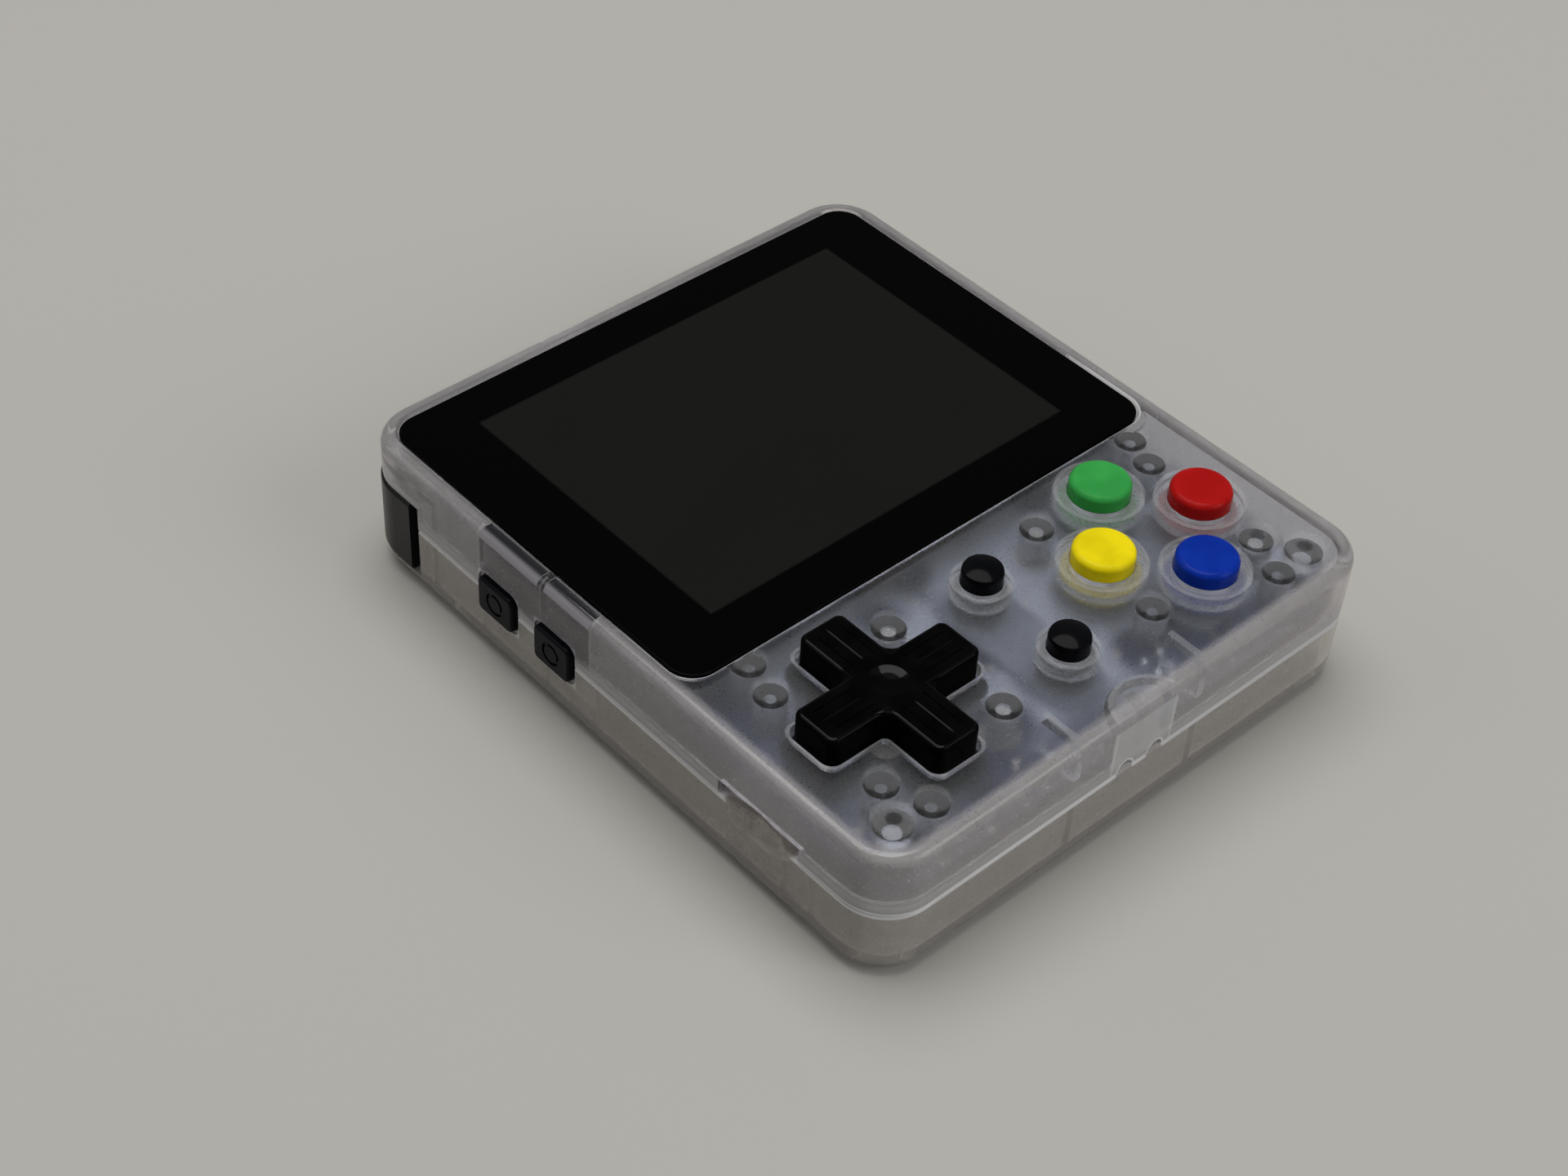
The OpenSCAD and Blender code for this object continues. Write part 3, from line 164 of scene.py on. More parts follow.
class Sheet:
    """One material being drawn: adds nodes, patterns on Object coordinates and the final shader."""

    def __init__(self, name: str) -> None:
        """Starts an empty material of that name.

        Args:
            name: the material's name.
        """
        self.material = bpy.data.materials.new(name)
        self.material.use_nodes = True
        self.tree = self.material.node_tree
        self.tree.nodes.clear()
        self._point: Any = None

    def node(
        self, kind: str, settings: dict[str, Any] | None = None, sockets: dict[Any, Any] | None = None
    ) -> bpy.types.Node:
        """Adds a node, sets it up and feeds it.

        Args:
            kind: node type.
            settings: attributes, set first.
            sockets: values, colours or links by input name or index.

        Returns:
            The node.
        """
        made = self.tree.nodes.new(kind)
        for key, value in (settings or {}).items():
            setattr(made, key, value)
        for key, value in (sockets or {}).items():
            if isinstance(value, Sig):
                self.tree.links.new(value.socket, made.inputs[key])
            elif isinstance(value, tuple) and made.inputs[key].type == "RGBA":
                made.inputs[key].default_value = (*value, 1.0)
            else:
                made.inputs[key].default_value = value
        return made

    def take(
        self,
        kind: str,
        settings: dict[str, Any] | None = None,
        sockets: dict[Any, Any] | None = None,
        output: Any = 0,
    ) -> Sig:
        """Adds a node and returns one of its outputs as a Sig."""
        return Sig(self, self.node(kind, settings, sockets).outputs[output])

    def place(self) -> tuple[Sig, Sig, Sig]:
        """The point on the piece in millimetres, as x, y and z.

        Returns:
            The three values, made once for each material.
        """
        if self._point is None:
            at = self.take("ShaderNodeTexCoord", output="Object")
            parts = self.node("ShaderNodeSeparateXYZ", {}, {0: at})
            self._point = tuple(Sig(self, parts.outputs[k]) * (1 / MM) for k in range(3))
        return self._point

    def coordinates(self, stretch: Colour = (1.0, 1.0, 1.0)) -> Sig:
        """Object coordinates in millimetres, times a factor for x, y and z."""
        at = self.take("ShaderNodeTexCoord", output="Object")
        return self.take("ShaderNodeMapping", {}, {"Vector": at, "Scale": scaled(stretch, 1 / MM)})

    def noise(self, size: float, detail: float = 2.0, stretch: Colour = (1.0, 1.0, 1.0)) -> Sig:
        """Cloudy pattern, 0 to 1: size is one cloud's width in millimetres and detail its octaves."""
        sockets = {"Vector": self.coordinates(stretch), "Scale": 1.0 / size, "Detail": detail}
        return self.take("ShaderNodeTexNoise", {"noise_dimensions": "3D"}, sockets, "Fac")

    def cells(self, size: float) -> Sig:
        """Distance to the nearest cell's middle, as a share of the cells' size in millimetres."""
        sockets = {"Vector": self.coordinates(), "Scale": 1.0 / size}
        return self.take("ShaderNodeTexVoronoi", {"voronoi_dimensions": "3D"}, sockets, "Distance")

    def tones(self, by: Value, a: Any, b: Any) -> Sig:
        """Colour between a, where by is 0, and b, where it is 1; each is a colour or a Sig."""
        return self.take("ShaderNodeMix", {"data_type": "RGBA"}, {0: by, 6: a, 7: b}, 2)

    def away(self, x: float, y: float) -> Sig:
        """Distance from the upright line through a point of the face, in millimetres."""
        px, py, _ = self.place()
        return ((px - x) * (px - x) + (py - y) * (py - y)).root()

    def ring(self, x: float, y: float, radius: float, width: float, soft: float = 0.1) -> Sig:
        """Mask of a ring round a point of the face, all in millimetres."""
        return self.away(x, y).near(radius, width / 2, soft)

    def corner(self, dx: Sig, dy: Sig, half_w: float, half_l: float, radius: float = 1.2) -> Sig:
        """Distance outside a rounded rectangle, from the distances dx and dy to its middle lines."""
        over_x, over_y = (dx - (half_w - radius)).most(0.0), (dy - (half_l - radius)).most(0.0)
        return (over_x * over_x + over_y * over_y).root() - radius

    def cross(self, dx: Sig, dy: Sig, arm: float, span: float) -> Sig:
        """Distance outside a plus sign with arms 2 arm wide and 2 span long, measured as by corner."""
        return self.corner(dx, dy, arm, span).least(self.corner(dx, dy, span, arm))

    def window(self, x: float, y: float, width: float, length: float, soft: float) -> Sig:
        """Mask of a rectangle of the face with soft edges, all in millimetres."""
        px, py, _ = self.place()
        return px.near(x, width / 2 - soft, 2 * soft) * py.near(y, length / 2 - soft, 2 * soft)

    def end_skin(self) -> Sig:
        """Mask of the case's outer skin at the strap end."""
        return self.place()[1].rise(0.7 - HALF_L, 0.3 - HALF_L)

    def bump(self, height: Sig, depth: float, strength: float = 1.0) -> Sig:
        """Normal of a relief from 0 to 1 that is depth millimetres high, applied by its strength."""
        sockets = {"Height": height, "Strength": strength, "Distance": depth * MM}
        return self.take("ShaderNodeBump", {}, sockets)

    def plastic(self, tone: Any, rough: Any, normal: Any = None, **constants: Any) -> Sig:
        """Adds a Principled shader.

        Args:
            tone: base colour.
            rough: roughness.
            normal: normal, if the surface has relief.
            constants: other sockets, named with _ for spaces.

        Returns:
            The shader.
        """
        sockets = {"Base Color": tone, "Roughness": rough}
        if normal is not None:
            sockets["Normal"] = normal
        sockets.update({key.replace("_", " "): value for key, value in constants.items()})
        return self.take("ShaderNodeBsdfPrincipled", {}, sockets)

    def blend(self, by: Value, a: Sig, b: Sig) -> Sig:
        """Mix of two shaders: a where by is 0 and b where it is 1."""
        return self.take("ShaderNodeMixShader", {}, {0: by, 1: a, 2: b})

    def close(self, shader: Sig) -> bpy.types.Material:
        """Ends the material in that shader and returns it."""
        self.node("ShaderNodeOutputMaterial", {}, {"Surface": shader})
        return self.material


# ---------------------------------------------------------------- finishes


class Finish(Protocol):
    """A look that can be drawn as a material."""

    def material(self, name: str) -> bpy.types.Material:
        """The look as a material of that name."""


class Mould(Enum):
    """Kinds of milk-white spot in the clear resin at moulded features, some of them painted highlight."""

    PEG = auto()
    SCREW = auto()
    GUIDE = auto()
    RIB = auto()
    KEY = auto()
    STRAP = auto()
    SEAT = auto()
    PAD = auto()

    def share(self, sheet: Sheet, *at: float) -> Sig:
        """Share of milk-white resin round one feature; at some edges it is painted highlight.

        Args:
            sheet: the material being drawn.
            at: place of the feature, then its size, in millimetres.

        Returns:
            The share, 0 to 1.
        """
        px, py, pz = sheet.place()
        top, under = pz.rise(*OUTSIDE), pz.rise(*UNDERSIDE)
        if self is Mould.PEG:
            disc, foot = sheet.away(*at).rise(2.1, 1.6), sheet.ring(*at, 1.85, 0.4, 0.3)
            return (disc * top * 0.09).most(foot * under * 0.3)
        if self is Mould.SCREW:
            head, bore = sheet.ring(*at, 1.6, 1.1, 0.4), sheet.away(*at).rise(1.1, 0.9)
            return (head * top * 0.12).most(bore * under * 0.4)
        # Guide: a milk-white disc, with a painted-highlight ring at its edge.
        if self is Mould.GUIDE:
            x, y, radius = at
            disc = sheet.away(x, y).rise(radius, radius - 0.2) * (under * 0.4 + top * 0.1)
            return disc.most(sheet.ring(x, y, radius - 0.3, 0.3, 0.2) * (under * 0.65 + top * 0.2))
        # Seat: painted highlight, a thin line along the window's lower edges only.
        if self is Mould.SEAT:
            x, y, half_w, half_l = at
            away = sheet.corner(abs(px - x), abs(py - y), half_w, half_l, 3.2)
            return away.near(0.12, 0.1, 0.12) * top * py.rise(4.0, -4.0) * 0.7
        if self is Mould.RIB:
            return sheet.window(*at, 0.1) * 0.18
        # Key openings: a painted-highlight rim on the outer skin.
        if self is Mould.KEY:
            y, z, half_l, half_h = at
            away = (abs(py - y) - half_l).most(abs(pz - z) - half_h)
            return away.rise(0.65, 0.4) * px.rise(0.8 - HALF_W, 0.4 - HALF_W) * 0.7
        # Strap holes: the parting edge's painted highlight, carried round the upper half of each hole.
        if self is Mould.STRAP:
            x, z, radius = at
            across, up = abs(px) - x, pz - z
            away = (across * across + up * up).root()
            return away.rise(radius + 0.4, radius + 0.2) * pz.rise(z - 0.1, z + 0.05) * sheet.end_skin()
        # Pad hole: a painted-highlight outline on the outer face.
        x, y, arm, span = at
        return sheet.cross(abs(px - x), abs(py - y), arm, span).rise(0.45, 0.2) * top * 0.22


@dataclass(frozen=True)
class ClearShell:
    """See-through moulded resin: clear where it is plain, milk-white where it is moulded to something,
    with painted highlight along its parting edge and some feature edges.

    The seam is the height of the parting edge's painted highlight and half its width.
    """

    face: Colour
    wall: Colour
    # Tone of the painted shade on the left wall's outer skin, where the keys are.
    painted_side_shade: Colour
    milk: Colour = (0.74, 0.75, 0.78)
    nail_tone: Colour = (0.16, 0.13, 0.11)
    # Tone of the band of painted shade along the top of the keys' bay.
    shadow: Colour = (0.012, 0.011, 0.016)
    face_clear: float = 0.985
    wall_clear: float = 0.8
    milk_clear: float = 0.15
    polish: float = 0.15
    frost: float = 0.28
    skin_z: tuple[float, float] = (16.2, 16.4)
    seam: tuple[float, float] = (9.45, 0.12)
    lip_z: float = 9.95
    nail: float = 0.0
    nail_y: float = -24.7
    nail_l: float = 10.4
    rib_y: float = 10.4
    moulds: tuple[tuple[Mould, tuple[float, ...]], ...] = ()

    def milk_and_painted_light_share(self, sheet: Sheet, edge: Sig) -> Sig:
        """Share of milk-white resin: painted highlight along the parting edge and just above it, and at every
        moulded feature.

        Args:
            sheet: the material being drawn.
            edge: distance outside the outline.

        Returns:
            The share.
        """
        px, _, pz = sheet.place()
        open_wall = 1 - abs(px).near(STRAP_X, STRAP_R, 0.2) * sheet.end_skin()
        outer = edge.rise(-0.9, -0.5) * open_wall
        # Painted highlight: the parting edge, and a fainter band just above it, are milk-white on the outer
        # skin.
        share = (pz.near(*self.seam) * outer).most(pz.near(9.9, 0.5, 1.0) * outer * 0.4)
        for mould, at in self.moulds:
            share = share.most(mould.share(sheet, *at))
        return share

    def material(self, name: str) -> bpy.types.Material:
        """Face resin inside the outline, wall resin within 2 mm of it, milk-white resin over both, partly
        painted highlight.

        The left wall's outer skin, where the keys are, carries painted shade, deeper in the keys' bay. The
        bay is clearer, with a band of painted shade along its top beside its rib. The nail notch is browner
        in cloudy patches.

        Args:
            name: the material's name.

        Returns:
            A mix of three resins.
        """
        sheet = Sheet(name)
        px, py, pz = sheet.place()
        edge = sheet.corner(abs(px), abs(py), HALF_W, HALF_L, CORNER_R)
        inward = px + HALF_W
        bay = py.near(BAY_Y, BAY_REACH, 0.3) * inward.rise(4.0, 3.0) * pz.rise(10.2, 10.8)
        rim = bay * pz.rise(15.0, 15.6)
        # Painted shade: the left wall's outer skin, where the keys are, is tinted darker, more in the keys'
        # bay.
        side = inward.rise(1.0, 0.1) * (0.45 + bay * 0.45)
        # Painted shade: a dark band along the top of the keys' bay, beside its rib, in the shadow tone.
        dark = bay * abs(py - self.rib_y).rise(0.45, 0.65) * pz.rise(16.3, 16.6) * inward.rise(1.9, 1.6)
        notch = sheet.window(-HALF_W, self.nail_y, 4.0, self.nail_l, 0.4) * inward.rise(0.02, 0.1)
        notch = notch * pz.rise(9.5, 9.2) * self.nail
        grain = sheet.noise(0.3, 3.0)
        flow = sheet.noise(9.0, 2.0, (1.0, 0.4, 1.0)).rise(0.35, 0.7)
        skin = edge.rise(-0.4, -0.2).most(pz.rise(*self.skin_z))
        lip = pz.near(self.lip_z, 0.6, 0.2) * edge.rise(-0.3, -0.5)
        rough = self.frost + skin * (self.polish - self.frost) + (grain - 0.5) * 0.05 + lip * 0.35 - rim * 0.1
        relief = sheet.bump(grain, 0.002, 0.25)
        milk = sheet.tones(dark, sheet.tones(notch, self.milk, self.nail_tone), self.shadow)
        resins = []
        kinds = (self.face, self.face_clear), (self.wall, self.wall_clear), (milk, self.milk_clear)
        for tint, clear in kinds:
            dull = tint if isinstance(tint, Sig) else scaled(tint, 0.95)
            tone = sheet.tones(side, sheet.tones(flow, dull, tint), self.painted_side_shade)
            resins.append(sheet.plastic(tone, rough, relief, Transmission_Weight=clear, IOR=1.46))
        wall = edge.rise(-2.4, -1.2) * (1 - bay * 0.7 - rim * 0.3) * (1 - pz.rise(2.6, 0.9) * 0.6)
        # The nail notch is browner, in cloudy patches of the nail tone.
        notch_cloud = notch * sheet.noise(1.6, 3.0).rise(0.3, 0.6)
        milk_and_painted_light_share = self.milk_and_painted_light_share(sheet, edge).most(notch_cloud * 0.6).most(dark * 0.8)
        return sheet.close(sheet.blend(milk_and_painted_light_share, sheet.blend(wall, resins[0], resins[1]), resins[2]))


@dataclass(frozen=True)
class BlackWindow:
    """Gloss-black display window whose panel area behind the glass is a shade lighter."""

    middle: tuple[float, float] = (0.37, 15.2)
    size: tuple[float, float] = (53.0, 39.7)
    pitch: float = 0.22
    border: Colour = (0.0008, 0.0009, 0.0009)
    gaps: Colour = (0.0085, 0.0085, 0.008)
    pixels: Colour = (0.012, 0.012, 0.0115)
    haze: Colour = (0.0115, 0.0115, 0.011)

    def material(self, name: str) -> bpy.types.Material:
        """The panel area is a rectangle with a soft edge and the fine rows of its pixels.

        Args:
            name: the material's name.

        Returns:
            The window's material.
        """
        sheet = Sheet(name)
        px, py, _ = sheet.place()
        panel = sheet.window(*self.middle, *self.size, 0.22)
        rows = (px.wave(self.pitch) * 0.5 + py.wave(self.pitch) * 0.5).rise(0.2, 0.9)
        cloud = sheet.noise(14.0, 3.0)
        lit = sheet.tones(cloud, sheet.tones(rows, self.gaps, self.pixels), self.haze)
        tone = sheet.tones(panel, self.border, lit)
        return sheet.close(sheet.plastic(tone, 0.09 + cloud * 0.06, Specular_IOR_Level=0.03))


@dataclass(frozen=True)
class SatinPlastic:
    """Solid-coloured moulded plastic with a fine satin grain and slight polish where fingers touch."""

    tone: Colour
    rough: float = 0.36
    grain: float = 0.25
    depth: float = 0.008
    level: float = 0.5
    gloss: float = 0.0

    def coat(self, sheet: Sheet) -> Value:
        """Weight of the polish, the same all over."""
        return self.gloss

    def painted_highlights(self, sheet: Sheet, tone: Sig) -> Sig:
        """Colour with painted highlights: plain plastic has none."""
        return tone

    def material(self, name: str) -> bpy.types.Material:
        """Grain is a fine cloud; the colour drifts by a few per cent over a few millimetres.

        Args:
            name: the material's name.

        Returns:
            The plastic's material.
        """
        sheet = Sheet(name)
        grain = sheet.noise(self.grain, 3.0)
        drift = sheet.noise(3.5, 2.0)
        light = tuple(min(1.0, c * 1.08 + 0.0015) for c in self.tone)
        tone = sheet.tones(drift.rise(0.3, 0.7), scaled(self.tone, 0.9), light)
        shader = sheet.plastic(
            self.painted_highlights(sheet, tone),
            self.rough + (drift - 0.5) * 0.12 + (grain - 0.5) * 0.1,
            sheet.bump(grain, self.depth, 0.6),
            Specular_IOR_Level=self.level,
            Coat_Weight=self.coat(sheet),
            Coat_Roughness=0.08,
        )
        return sheet.close(shader)


@dataclass(frozen=True)
class PadPlastic(SatinPlastic):
    """Plastic of the direction pad: polished edges and dish, and a painted highlight down the crease of each
    arm.

    The sizes are half an arm's width, half the span, the top's height, the dish's radius, and where a
    crease starts and ends.
    """

    arm: float = 3.0
    reach: float = 10.5
    top: float = 20.5
    dish: float = 2.15
    crease: tuple[float, float] = (3.9, 9.3)
    # Colour of the painted highlight on the creases.
    pale: Colour = (0.03, 0.03, 0.032)

    def offsets(self, sheet: Sheet) -> tuple[Sig, Sig]:
        """Distances from the pad's two middle lines."""
        px, py, _ = sheet.place()
        return abs(px - PAD_X), abs(py - PAD_Y)

    def coat(self, sheet: Sheet) -> Sig:
        """Polish on the band where the top turns over the edge, and on the far wall of the dish.

        Args:
            sheet: the material being drawn.

        Returns:
            The weight of the polish.
        """
        px, py, pz = sheet.place()
        away = sheet.cross(*self.offsets(sheet), self.arm, self.reach)
        band = away.rise(-0.5, -0.44) * away.rise(-0.16, -0.24) * pz.rise(self.top - 0.5, self.top - 0.4)
        bowl = sheet.away(PAD_X, PAD_Y)
        bowl = bowl.rise(self.dish + 0.1, self.dish) * bowl.rise(self.dish - 1.0, self.dish - 0.7)
        far = (px + py - (PAD_X + PAD_Y)).rise(0.4, 1.4)
        return (band * 0.18).most(bowl * far * 0.26) + self.gloss

    def line(self, across: Sig, along: Sig) -> Sig:
        """Mask of one pair of creases, from the distances across and along them."""
        low, high = self.crease
        return across.rise(0.13, 0.05) * along.rise(low - 0.2, low + 0.4) * along.rise(high + 0.2, high - 0.6)

    def painted_highlights(self, sheet: Sheet, tone: Sig) -> Sig:
        """Painted highlight: the creases are paler where they catch the light, those along y more than those
        across.

        Args:
            sheet: the material being drawn.
            tone: colour of the plain plastic.

        Returns:
            The colour with its creases.
        """
        dx, dy = self.offsets(sheet)
        lines = self.line(dx, dy).most(self.line(dy, dx) * 0.1)
        return sheet.tones(lines * sheet.place()[2].rise(self.top - 0.3, self.top - 0.2), tone, self.pale)


@dataclass(frozen=True)
class SolderMask:
    """Navy circuit board: tracks in bundles that turn from cell to cell, vias and plated rings."""

    mask: Colour = (0.002, 0.008, 0.055)
    track: Colour = (0.01, 0.022, 0.09)
    pour: Colour = (0.55, 0.58, 0.66)
    metal: Colour = (0.62, 0.58, 0.5)
    half_w: float = 33.6
    half_l: float = 40.6
    cell: float = 7.0
    pitch: float = 0.55
    via_pitch: float = 2.6
    ring: float = 1.7
    rings: tuple[tuple[float, float], ...] = BOARD_SCREWS
    bare: tuple[tuple[float, float, float], ...] = (
        (-9.2, -13.2, 2.8), (-2.0, -9.8, 2.6), (-15.0, -35.6, 4.0), (-10.2, -32.6, 3.8), (9.4, -34.0, 3.4),
        (15.4, -35.8, 4.2), (-31.5, -13.0, 4.6), (-4.2, -23.0, 3.6), (17.6, -9.0, 3.0),
    )

    def material(self, name: str) -> bpy.types.Material:
        """Tracks are lines of one pitch, along x or y by the colour of a square cell.

        A pale pour covers the board in clouds, thinner at its left and strap edges and off at bare spots.

        Args:
            name: the material's name.

        Returns:
            The board's material.
        """
        sheet = Sheet(name)
        px, py, _ = sheet.place()
        turn = sheet.take(
            "ShaderNodeTexVoronoi",
            {"voronoi_dimensions": "2D", "distance": "CHEBYCHEV"},
            {"Vector": sheet.coordinates(), "Scale": 1.0 / self.cell},
            "Color",
        )
        pick = sheet.node("ShaderNodeSeparateColor", {}, {0: turn})
        along, some = Sig(sheet, pick.outputs[0]) > 0.5, Sig(sheet, pick.outputs[1]) > 0.35
        line = along * px.wave(self.pitch) + (1 - along) * py.wave(self.pitch)
        tracks = line.rise(0.5, 0.36) * some
        metal = sheet.cells(self.via_pitch).rise(0.2, 0.13)
        for x, y in self.rings:
            metal = metal.most(sheet.ring(x, y, self.ring, 0.9))
        edge = (-1 * px - self.half_w).most(-1 * py - self.half_l).rise(-7.0, -2.0)
        pour = sheet.noise(11.0, 1.5).rise(0.26, 0.5) * (1 - edge * 0.8)
        for x, y, radius in self.bare:
            pour = pour * sheet.away(x, y).rise(radius - 1.2, radius + 1.0)
        tone = sheet.tones(tracks, self.mask, self.track)
        tone = sheet.tones(pour * 0.8, tone, sheet.tones(tracks, self.pour, scaled(self.pour, 1.3)))
        relief = sheet.bump(tracks * 0.5 + metal * 0.5, 0.03)
        tone = sheet.tones(metal, tone, self.metal)
        return sheet.close(sheet.plastic(tone, 0.32 + metal * 0.1, relief, Metallic=metal * 0.8))


@dataclass(frozen=True)
class Metal:
    """Plated or bare metal with fine brushing along an axis and light handling marks."""

    tone: Colour
    rough: float = 0.28
    brushed: Colour = (6.0, 1.0, 1.0)

    def material(self, name: str) -> bpy.types.Material:
        """Brushing is a stretched cloud that varies roughness and relief.

        Args:
            name: the material's name.

        Returns:
            The metal's material.
        """
        sheet = Sheet(name)
        brush = sheet.noise(0.5, 3.0, self.brushed)
        tone = sheet.tones(sheet.noise(2.2, 3.0).rise(0.3, 0.8), self.tone, scaled(self.tone, 0.8))
        rough = self.rough + (brush - 0.5) * 0.2
        return sheet.close(sheet.plastic(tone, rough, sheet.bump(brush, 0.004), Metallic=1.0))


@dataclass(frozen=True)
class Rubber:
    """Moulded silicone: slightly see-through, soft and matt."""

    tone: Colour = (0.58, 0.62, 0.72)
    clear: float = 0.6
    index: float = 1.41

    def material(self, name: str) -> bpy.types.Material:
        """A fine dusty grain on a translucent body.

        Args:
            name: the material's name.

        Returns:
            The rubber's material.
        """
        sheet = Sheet(name)
        dust = sheet.noise(0.4, 4.0)
        tone = sheet.tones(sheet.noise(4.0, 2.0), scaled(self.tone, 0.86), self.tone)
        relief, rough = sheet.bump(dust, 0.01), 0.5 + (dust - 0.5) * 0.2
        return sheet.close(sheet.plastic(tone, rough, relief, Transmission_Weight=self.clear, IOR=self.index))


@dataclass(frozen=True)
class FoilWrap:
    """Heat-sealed pouch or film: soft wrinkles over a plain colour."""

    tone: Colour
    rough: float = 0.35
    metallic: float = 0.4
    wrinkle: float = 0.05

    def material(self, name: str) -> bpy.types.Material:
        """Wrinkles are the ridges of a stretched cloud.

        Args:
            name: the material's name.

        Returns:
            The wrap's material.
        """
        sheet = Sheet(name)
        folds = abs(sheet.noise(5.0, 3.0, (1.0, 2.2, 1.0)) - 0.5).rise(0.0, 0.12)
        tone = sheet.tones(sheet.noise(8.0, 2.0), scaled(self.tone, 0.85), self.tone)
        relief, rough = sheet.bump(folds, self.wrinkle), self.rough + (1 - folds) * 0.12
        return sheet.close(sheet.plastic(tone, rough, relief, Metallic=self.metallic))


class Film(Enum):
    """Thin films and glass of the display stack: base colour, roughness and see-through share."""

    PANEL = ((0.05, 0.055, 0.06), 0.15, 0.0)
    LIGHT = ((0.8, 0.8, 0.78), 0.3, 0.0)
    TAPE = ((0.02, 0.02, 0.02), 0.6, 0.0)
    # The ribbon is dark brown rather than amber, partly as painted shade under the window's lower edge.
    RIBBON = ((0.06, 0.035, 0.02), 0.3, 0.2)

    def material(self, name: str) -> bpy.types.Material:
        """Faint lines along y, half a millimetre apart, under a haze.

        Args:
            name: the material's name.

        Returns:
            The film's material.
        """
        tone, rough, clear = self.value
        sheet = Sheet(name)
        lines = sheet.place()[0].wave(0.5).rise(0.3, 0.7)
        haze = sheet.noise(3.0, 3.0)
        mixed = sheet.tones(lines * 0.4 + haze * 0.4, tone, scaled(tone, 0.7))
        relief, rough = sheet.bump(lines, 0.01), rough + haze * 0.1
        return sheet.close(sheet.plastic(mixed, rough, relief, Transmission_Weight=clear))


# ---------------------------------------------------------------- meshes from arrays


@dataclass
class Patch:
    """Points and quads of part of a mesh."""

    points: np.ndarray
    quads: np.ndarray

    def copies(self, places: np.ndarray) -> "Patch":
        """The patch repeated at each place: points + place, quads shifted by the point count.

        Args:
            places: (k, 3) offsets in millimetres.

        Returns:
            One patch with every copy.
        """
        count = len(self.points)
        points = (self.points[None] + places[:, None]).reshape(-1, 3)
        quads = (self.quads[None] + count * np.arange(len(places))[:, None, None]).reshape(-1, 4)
        return Patch(points, quads)

    def __add__(self, other: "Patch") -> "Patch":
        """Both patches in one."""
        quads = np.vstack([self.quads, other.quads + len(self.points)])
        return Patch(np.vstack([self.points, other.points]), quads)

    def piece(self, name: str, smooth: bool = True, closed: bool = True) -> bpy.types.Object:
        """Makes the object, from millimetres to metres, with doubles merged and faces outwards.

        Args:
            name: the object's name.
            smooth: shade faces smoothly, with sharp edges kept past 40 degrees.
            closed: turn every face outwards; an open surface keeps its own side up.

        Returns:
            The object.
        """
        mesh = bpy.data.meshes.new(name)
        mesh.from_pydata((self.points * MM).tolist(), [], self.quads.tolist())
        work = bmesh.new()
        work.from_mesh(mesh)
        bmesh.ops.remove_doubles(work, verts=work.verts, dist=1e-7)
        bmesh.ops.dissolve_degenerate(work, edges=work.edges, dist=1e-8)
        if closed:
            bmesh.ops.recalc_face_normals(work, faces=work.faces)
        work.to_mesh(mesh)
        work.free()
        if smooth:
            mesh.shade_smooth()
            mesh.set_sharp_from_angle(angle=math.radians(40))
        made = bpy.data.objects.new(name, mesh)
        bpy.context.scene.collection.objects.link(made)
        return made


def grid_patch(points: np.ndarray, loop: bool = False) -> Patch:
    """Quads over a grid: (i, j), (i, j+1), (i+1, j+1), (i+1, j).

    Args:
        points: (n, m, 3) grid.
        loop: join the last column to the first.

    Returns:
        The patch.
    """
    rows, columns = points.shape[:2]
    i = np.arange(rows - 1)[:, None]
    j = np.arange(columns if loop else columns - 1)[None]
    k = (j + 1) % columns
    corners = [i * columns + j, i * columns + k, (i + 1) * columns + k, (i + 1) * columns + j]
    quads = np.stack([np.broadcast_to(c, (rows - 1, j.size)) for c in corners], -1)
    return Patch(points.reshape(-1, 3), quads.reshape(-1, 4))


def turned(profile: np.ndarray, x: float, y: float, steps: int = 48) -> Patch:
    """Surface of revolution about an upright axis: (x + r cos a, y + r sin a, z).

    Args:
        profile: (k, 2) rows of r and z.
        x: axis, across.
        y: axis, along.
        steps: points round.

    Returns:
        The patch.
    """
    a = np.linspace(0, 2 * np.pi, steps, endpoint=False)
    r, z = profile[:, :1], profile[:, 1:]
    points = np.stack([x + r * np.cos(a), y + r * np.sin(a), z + 0 * a], -1)
    return grid_patch(points, loop=True)


def stacked(outline: np.ndarray, rings: list[tuple[float, float]]) -> Patch:
    """Closed slab: ring k is the outline scaled by s_k at height z_k, and s = 0 closes it.

    Args:
        outline: (n, 2) points round the slab, about its middle.
        rings: (scale, height) from the foot's middle, over the rim, to the top's middle.

    Returns:
        The patch.
    """
    scale, height = np.array(rings).T
    flat = scale[:, None, None] * outline[None]
    upright = np.broadcast_to(height[:, None, None], flat.shape[:2] + (1,))
    return grid_patch(np.concatenate([flat, upright], -1), loop=True)


def swept(path: np.ndarray, width: float, thick: float) -> Patch:
    """Flat strip along a path: path +- x * width/2 +- normal * thick/2, normal = along cross x.

    Args:
        path: (k, 3) points in millimetres, at one x.
        width: strip width, along x.
        thick: strip thickness.

    Returns:
        A closed patch with flat ends.
    """
    along = np.gradient(path, axis=0)
    along /= np.linalg.norm(along, axis=1, keepdims=True)
    normal = np.cross(along, RIGHT)
    side = np.array([-1, 1, 1, -1])[:, None] * width / 2
    lift = np.array([-1, -1, 1, 1])[:, None] * thick / 2
    body = path[:, None] + side * RIGHT + lift * normal[:, None]
    first, last = body[:1].mean(1, keepdims=True), body[-1:].mean(1, keepdims=True)
    return grid_patch(np.concatenate([first.repeat(4, 1), body, last.repeat(4, 1)]), loop=True)


